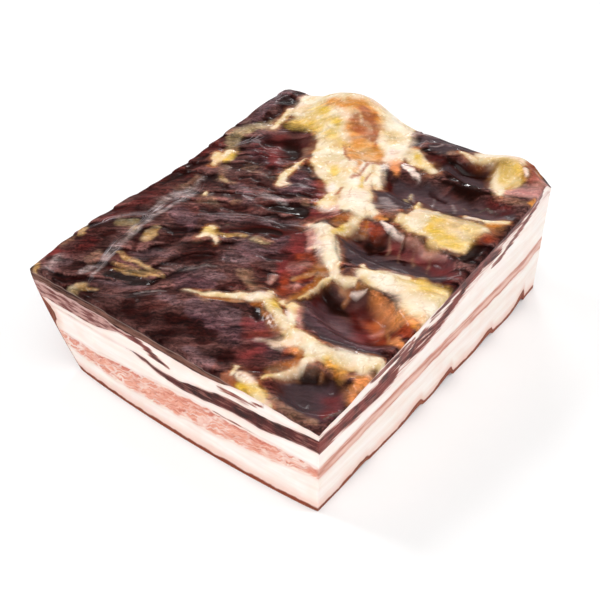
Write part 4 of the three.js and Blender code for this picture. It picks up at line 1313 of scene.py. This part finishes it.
def dark_lean_group():
    """Dark lean over any colour: red-brown with paler fibres, less dark in the right-hand cut."""
    tree, wire, given, out = new_group(
        "dark_lean_over",
        {"Colour": COLOUR, "Inside": NUMBER, "Place": PLACE, "Thin": NUMBER},
        {"Colour": COLOUR},
    )
    place = given["Place"]
    clouds = wire.noise(place, 6.0, 3.0)
    fibres = wire.streaks(place, (9.0, 14.0, 1.1), 4.0, 0.6)
    deep = wire.mix(given["Thin"], paint(44, 10, 9), paint(66, 18, 17))
    ruddy = wire.mix(given["Thin"], paint(86, 30, 27), paint(122, 50, 44))
    lean = wire.mix(wire.between(clouds, 0.35, 0.65), deep, ruddy)
    lean = wire.over(lean, wire.between(fibres, 0.5, 0.66), 0.5, paint(176, 112, 102))
    fray = wire.swing(wire.streaks(place, (9.0, 11.0, 1.0), 2.0, 0.45), LEAN_FRAY)
    mask = wire.between(wire.plus(given["Inside"], fray), -LEAN_FADE, LEAN_FADE)
    faded = wire.mix(wire.between(mask, 0.0, 0.55), given["Colour"], paint(172, 112, 98))
    wire.feed(out["Colour"], wire.mix(wire.between(mask, 0.3, 0.9), faded, lean))
    return tree


def skin_group():
    """Brown skin with a pink halo under it, over any colour."""
    tree, wire, given, out = new_group(
        "skin_over",
        {"Colour": COLOUR, "Depth": NUMBER, "Place": PLACE},
        {"Colour": COLOUR, "Mask": NUMBER},
    )
    place = given["Place"]
    lumps = wire.noise(place, 5.0, 3.0)
    pores = wire.noise(place, 1.3, 2.0)
    stains = wire.streaks(place, (14.0, 20.0, 7.0), 4.0, 0.6)
    depth = wire.plus(given["Depth"], wire.swing(lumps, 2.4))
    haloed = wire.over(given["Colour"], wire.between(depth, -5.5, 0.0), 0.55, paint(226, 168, 148))
    brown = wire.mix(lumps, paint(112, 36, 20), paint(164, 78, 48))
    brown = wire.over(brown, pores, 0.4, paint(84, 38, 26))
    brown = wire.over(brown, wire.between(stains, 0.45, 0.7), 0.5, paint(92, 44, 32))
    outside = wire.times(wire.between(given["Depth"], 1.0, 1.6), wire.between(given["Depth"], 2.6, 1.8))
    brown = wire.mix(outside, brown, wire.mix(lumps, brown, paint(158, 100, 70)))
    mask = wire.between(depth, -0.5, 0.5)
    wire.feed(out["Colour"], wire.mix(mask, haloed, brown))
    wire.feed(out["Mask"], mask)
    return tree


DARK_LEAN_OVER = dark_lean_group()
SKIN_OVER = skin_group()


def new_material(name, **plain):
    """A material with one principled shader, whose plain numbers are set on its own sockets."""
    material = bpy.data.materials.new(name)
    material.use_nodes = True
    shader = material.node_tree.nodes["Principled BSDF"]
    for socket, value in plain.items():
        shader.inputs[socket.replace("_", " ")].default_value = value
    return material, Wiring(material.node_tree), shader.inputs


def silk_over(wire, place, colour):
    """Strands of silky skin over a colour."""
    across = wire.math("DIVIDE", wire.field("silk"), SILK["strand_width"])
    along = wire.math("DIVIDE", wire.node("SeparateXYZ", {0: place}).outputs["Y"], SILK["strand_length"])
    strand_place = wire.node("CombineXYZ", {0: across, 1: along, 2: 0.0}).outputs[0]
    strands = wire.between(wire.noise(strand_place, 1.0, 3.0, 0.6), 0.5, 0.66)
    silky = wire.times(wire.field("silky"), wire.blend(strands, 0.03, 0.66))
    return wire.mix(silky, colour, paint(*SILK["colour"]))


def cut_edge_over(wire, place, colour):
    """The dried top as its cut edge shows it, over a colour: a dark strip, a pale line and purple lean, and a
    pale rim that is partly a painted highlight.
    """
    depth = wire.field("depth")
    layers = wire.streaks(place, (11.0, 11.0, 1.2), 4.0, 0.6)
    cells = wire.streaks(place, (7.0, 7.0, 1.3), 3.0)
    wavy = wire.plus(depth, wire.swing(layers, 3.0))
    strip = wire.mix(wire.between(layers, 0.32, 0.68), paint(50, 26, 21), paint(130, 90, 78))
    purple = wire.mix(wire.between(cells, 0.38, 0.64), paint(120, 72, 68), paint(196, 154, 146))
    cut = wire.mix(wire.between(wavy, 4.4, 5.0), strip, paint(206, 172, 164))
    cut = wire.mix(wire.between(wavy, 5.0, 5.8), cut, purple)
    # A pale band along the top rim: partly film, partly a painted highlight on the rounded edge
    cut = wire.over(cut, wire.between(depth, 1.6, 1.0), 0.5, paint(196, 170, 160))
    return wire.mix(wire.between(depth, 0.8, 1.4), colour, cut)


# How large the lobes of the dried fat are, and its yellow, pale and rosy clouds, in mm
LOBE_SIZE = (8.0, 5.0, 8.0)
CLOUD_SIZES = ((14.0, 9.0, 14.0), (9.0, 5.0, 9.0), (12.0, 7.0, 12.0))


def dried_top_material():
    """The dried top: the tissues' colours with hairs, marks in the fat and a wet sheen, and its cut edge."""
    material, wire, shader = new_material(
        "dried_top",
        Subsurface_Weight=0.1,
        Subsurface_Scale=0.0012,
        Specular_IOR_Level=0.03,
        Coat_Roughness=0.08,
        Coat_IOR=1.45,
        IOR=1.4,
    )
    place = wire.place()
    fat = wire.field("fat")
    mid = wire.noise(place, 5.0, 2.0, 0.5)
    spots = wire.noise(place, 1.5, 3.0, 0.6)
    fine = wire.noise(place, 0.8, 2.0, 0.6)
    pushed = wire.pushed(place, 10 / 3, 4.0)
    hairs = wire.streaks(pushed, (10.0, 1.1, 1.1), 3.0, 0.5, FIBRE_TURN)
    yellow, pale, rosy = (wire.streaks(pushed, size, 1.0, 0.5, FIBRE_TURN) for size in CLOUD_SIZES)
    lobe_edge = wire.cells(wire.stretch(pushed, LOBE_SIZE, FIBRE_TURN), "DISTANCE_TO_EDGE", "Distance")
    seamed = wire.times(wire.between(lobe_edge, 0.09, 0.02), wire.between(mid, 0.45, 0.65))

    streaky = wire.blend(wire.between(hairs, 0.3, 0.7), 0.4, 1.45)
    spotty = wire.blend(wire.between(spots, 0.3, 0.7), 0.75, 1.2)
    rough = wire.minus(1.0, wire.times(wire.field("calm"), 0.75))
    dry_lean = wire.times(wire.minus(1.0, fat), rough)
    shade = wire.blend(dry_lean, 1.0, wire.times(streaky, spotty))
    colour = wire.scaled(wire.field("tint", "Color"), shade)
    fat_marks = [
        (wire.between(yellow, 0.42, 0.72), 0.5, (228, 186, 100)),
        (wire.between(pale, 0.4, 0.7), 0.5, (248, 238, 220)),
        (wire.between(rosy, 0.48, 0.72), 0.35, (240, 200, 182)),
        (seamed, 0.35, (176, 122, 80)),
        (wire.between(hairs, 0.52, 0.72), 0.3, (206, 160, 112)),
        (wire.between(spots, 0.54, 0.7), 0.5, (252, 246, 232)),
    ]
    for mask, strength, mark in fat_marks:
        colour = wire.over(colour, wire.times(fat, mask), strength, paint(*mark))
    colour = silk_over(wire, place, colour)
    colour = cut_edge_over(wire, place, colour)

    moist = wire.times(wire.between(spots, 0.56, 0.7), 0.3)
    wet = wire.times(wire.field("wet"), wire.between(mid, 0.2, 0.6))
    height = wire.plus(wire.times(hairs, 0.6), wire.plus(wire.times(fine, 0.4), mid))
    wire.feed(shader["Base Color"], colour)
    wire.feed(shader["Roughness"], wire.blend(fat, wire.blend(mid, 0.3, 0.5), 0.42))
    wire.feed(shader["Coat Weight"], wire.math("MAXIMUM", moist, wet))
    wire.feed(shader["Normal"], wire.bumped(height, 0.3, 0.4))
    return material


def fat_material():
    """White back fat as cut, faintly pink, with soft streaks along the sheets; dried on the left edge."""
    material, wire, shader = new_material(
        "cut_fat", Subsurface_Weight=0.15, Subsurface_Scale=0.0015, Specular_IOR_Level=0.25, IOR=1.45
    )
    place = wire.place()
    streaks = wire.streaks(place, (26.0, 40.0, 3.2), 4.0, 0.6)
    clouds = wire.noise(place, 9.0, 3.0)
    fine = wire.noise(place, 1.2, 3.0)
    stains = wire.streaks(place, (6.0, 14.0, 3.0), 4.0, 0.6)
    wrinkles = wire.streaks(place, (3.0, 9.0, 3.0), 3.0)
    colour = wire.mix(wire.between(streaks, 0.3, 0.7), paint(244, 229, 220), paint(251, 243, 237))
    colour = wire.over(colour, wire.between(clouds, 0.45, 0.75), 0.3, paint(242, 212, 197))
    colour = wire.over(colour, wire.between(wire.from_faces(), 1.4, 0.0), 0.35, paint(224, 170, 158))
    crust = wire.mix(wire.between(stains, 0.35, 0.65), paint(206, 164, 116), paint(124, 72, 50))
    colour = wire.over(colour, wire.field("dried"), 0.9, crust)
    marked = wire.group(DARK_LEAN_OVER, Colour=colour, Inside=wire.field("dark_lean"), Place=place, Thin=1.0)
    skin = wire.group(SKIN_OVER, Colour=marked["Colour"], Depth=wire.field("skin"), Place=place)
    wrinkled = wire.times(wire.times(skin["Mask"], wrinkles), 2.5)
    height = wire.plus(wire.plus(wire.times(fine, 0.4), streaks), wrinkled)
    wire.feed(shader["Base Color"], skin["Colour"])
    wire.feed(shader["Roughness"], wire.blend(skin["Mask"], wire.blend(fine, 0.3, 0.45), 0.6))
    wire.feed(shader["Normal"], wire.bumped(height, 0.35, 0.4))
    return material


def dark_lean_material():
    """The dark middle lean as cut, red-brown with pale flecks; marbled away along the right-hand cut."""
    material, wire, shader = new_material(
        "cut_dark_lean", Subsurface_Weight=0.05, Subsurface_Scale=0.001, Specular_IOR_Level=0.2, IOR=1.4
    )
    place = wire.place()
    fibres = wire.streaks(place, (9.0, 20.0, 1.0), 4.0, 0.6)
    clouds = wire.noise(place, 6.0, 3.0)
    fine = wire.noise(place, 0.8, 3.0)
    pale = wire.mix(wire.between(fibres, 0.45, 0.62), paint(244, 228, 220), paint(206, 158, 146))
    inside, thin = wire.field("dark_lean"), wire.field("right_cut")
    colour = wire.group(DARK_LEAN_OVER, Colour=pale, Inside=inside, Place=place, Thin=thin)["Colour"]
    edge = wire.times(wire.between(wire.from_faces(), 0.9, 0.0), wire.between(fibres, 0.4, 0.6))
    edge = wire.times(edge, wire.minus(1.0, thin))
    colour = wire.over(colour, edge, 0.8, paint(206, 158, 146))
    height = wire.plus(wire.times(fine, 0.5), fibres)
    wire.feed(shader["Base Color"], colour)
    wire.feed(shader["Roughness"], wire.blend(clouds, 0.35, 0.5))
    wire.feed(shader["Normal"], wire.bumped(height, 0.5, 0.4))
    return material


# The two salmon lines of the right-hand cut: from which face each is measured, how far off it and how wide
SALMON_LINES = (("from_roof", 1.2, 2.8), ("from_floor", 0.5, 2.0))


def two_lines(wire, place):
    """The pink lean as the right-hand cut shows it: two salmon lines with pale pink between them."""
    wander = wire.minus(wire.streaks(place, (5.0, 14.0, 4.0), 3.0), 0.5)
    broken = wire.between(wire.streaks(place, (5.0, 18.0, 1.6), 3.0), 0.35, 0.6)
    colour = wire.mix(wire.between(wander, -0.2, 0.2), paint(240, 206, 192), paint(232, 188, 172))
    salmon = wire.mix(broken, paint(216, 152, 132), paint(190, 112, 90))
    for face, line_at, half_width in SALMON_LINES:
        away = wire.plus(wire.minus(wire.field(face), line_at), wire.times(wander, 4.0))
        line = wire.between(wire.math("ABSOLUTE", away), half_width, 0.2)
        colour = wire.over(colour, line, wire.blend(broken, 0.5, 0.95), salmon)
    return colour


# How far the bundles of the pink lean lean over
BUNDLE_LEAN = math.radians(16)


def pink_lean_material():
    """The pink lower lean as cut: bundles of muscle parted by white lines that lean up to the right."""
    material, wire, shader = new_material(
        "cut_pink_lean", Subsurface_Weight=0.12, Subsurface_Scale=0.0015, IOR=1.45
    )
    place = wire.place()
    clouds = wire.noise(place, 8.0, 3.0)
    turned = {"Vector": wire.pushed(place, 4.0, 5.0), "Angle": BUNDLE_LEAN}
    leaning = wire.node("VectorRotate", turned, rotation_type="Y_AXIS").outputs[0]
    bundles = wire.stretch(leaning, (9.0, 40.0, 2.4))
    lines = wire.cells(bundles, "DISTANCE_TO_EDGE", "Distance")
    tone = wire.node("SeparateColor", {0: wire.cells(bundles, "F1", "Color")}).outputs[0]
    fine = wire.streaks(leaning, (5.0, 20.0, 0.8), 3.0)
    from_roof, from_floor = wire.field("from_roof"), wire.field("from_floor")
    colour = wire.mix(wire.between(from_roof, 3.5, 0.5), paint(218, 136, 112), paint(200, 102, 80))
    colour = wire.over(colour, tone, 0.8, paint(232, 162, 138))
    colour = wire.over(colour, wire.between(fine, 0.48, 0.7), 0.75, paint(240, 198, 180))
    colour = wire.over(colour, wire.between(fine, 0.46, 0.3), 0.7, paint(180, 84, 60))
    white = wire.times(wire.between(lines, 0.16, 0.02), wire.between(clouds, 0.32, 0.62))
    colour = wire.over(colour, white, 0.8, paint(246, 226, 216))
    ragged_floor = wire.plus(from_floor, wire.swing(fine, 5.0))
    colour = wire.mix(wire.between(ragged_floor, 0.9, 0.0), colour, paint(244, 222, 208))
    ragged_roof = wire.plus(from_roof, wire.swing(clouds, 4.0))
    colour = wire.mix(wire.between(ragged_roof, 0.8, 0.0), colour, paint(244, 220, 208))
    colour = wire.mix(wire.field("right_cut"), colour, two_lines(wire, place))
    skin = wire.group(SKIN_OVER, Colour=colour, Depth=wire.field("skin"), Place=place)
    height = wire.plus(wire.times(fine, 0.6), wire.between(lines, 0.0, 0.15))
    wire.feed(shader["Base Color"], skin["Colour"])
    wire.feed(shader["Roughness"], wire.blend(skin["Mask"], 0.4, 0.6))
    wire.feed(shader["Normal"], wire.bumped(height, 0.4, 0.3))
    return material


# The camera stands where the picture was taken from
CAMERA_TURN, CAMERA_RISE, CAMERA_DISTANCE = math.radians(37.96), math.radians(36.975), 400
CAMERA_TARGET = Vector((8.0, -10.07, 20.0))
PICTURE_WIDTHS_DEEP = 1.57


def add_camera():
    data = bpy.data.cameras.new("camera")
    data.sensor_width = 36
    data.lens = PICTURE_WIDTHS_DEEP * data.sensor_width
    data.clip_start, data.clip_end = 0.01, 20
    camera = add_object("camera", data)
    back = Vector((
        math.sin(CAMERA_TURN) * math.cos(CAMERA_RISE),
        -math.cos(CAMERA_TURN) * math.cos(CAMERA_RISE),
        math.sin(CAMERA_RISE),
    ))
    camera.location = (CAMERA_TARGET + back * CAMERA_DISTANCE) * MM
    camera.rotation_euler = (-back).to_track_quat("-Z", "Y").to_euler()
    bpy.context.scene.camera = camera


# The pale floor, half as wide as this in metres
FLOOR_HALF, FLOOR_TONE = 4, (0.92, 0.92, 0.92, 1)


def add_floor():
    box = bmesh.new()
    bmesh.ops.create_grid(box, x_segments=1, y_segments=1, size=FLOOR_HALF)
    floor = add_object("floor", mesh_of("floor", box))
    material, _, shader = new_material("pale_floor", Roughness=0.7)
    shader["Base Color"].default_value = FLOOR_TONE
    floor.data.materials.append(material)


# The softboxes: of each its place and its two sides, in metres, and its power in watts
SOFTBOXES = {
    "above": ((0.05, -0.05, 1.2), (1.0, 1.0), 2.6),
    "front": ((0.45, -0.75, 0.55), (0.9, 0.6), 5.4),
    "left": ((-0.75, -0.15, 0.7), (0.3, 0.3), 4),
    "right": ((0.65, 0.45, 0.8), (0.35, 0.35), 3.5),
    "behind": ((-0.55, 0.8, 0.5), (0.35, 0.14), 2.4),
}
LIT_SPOT = Vector((0, 0, 0.03))
TENT_COLOUR, TENT_STRENGTH = (1, 1, 1, 1), 0.34


def add_light():
    world = bpy.data.worlds.new("white_tent")
    world.use_nodes = True
    tent = world.node_tree.nodes["Background"].inputs
    tent["Color"].default_value = TENT_COLOUR
    tent["Strength"].default_value = TENT_STRENGTH
    bpy.context.scene.world = world
    for name, (place, size, power) in SOFTBOXES.items():
        data = bpy.data.lights.new(name, "AREA")
        data.shape = "RECTANGLE"
        data.size, data.size_y = size
        data.energy = power
        lamp = add_object(name, data)
        lamp.location = place
        lamp.rotation_euler = (LIT_SPOT - Vector(place)).to_track_quat("-Z", "Y").to_euler()
    bpy.context.scene.view_settings.view_transform = "Standard"


FINISHES = {
    "lean_top": ("dried_lean", dried_top_material()),
    "lean_middle": ("dried_lean", dark_lean_material()),
    "lean_lower": ("pink_lean", pink_lean_material()),
}
FAT_FINISH = ("fat", fat_material())

add_camera()
add_floor()
add_light()
for sheet_name in SHEETS:
    finished = make_sheet(sheet_name)
    record_slot, look = FINISHES.get(sheet_name, FAT_FINISH)
    finished.data.materials.append(look)
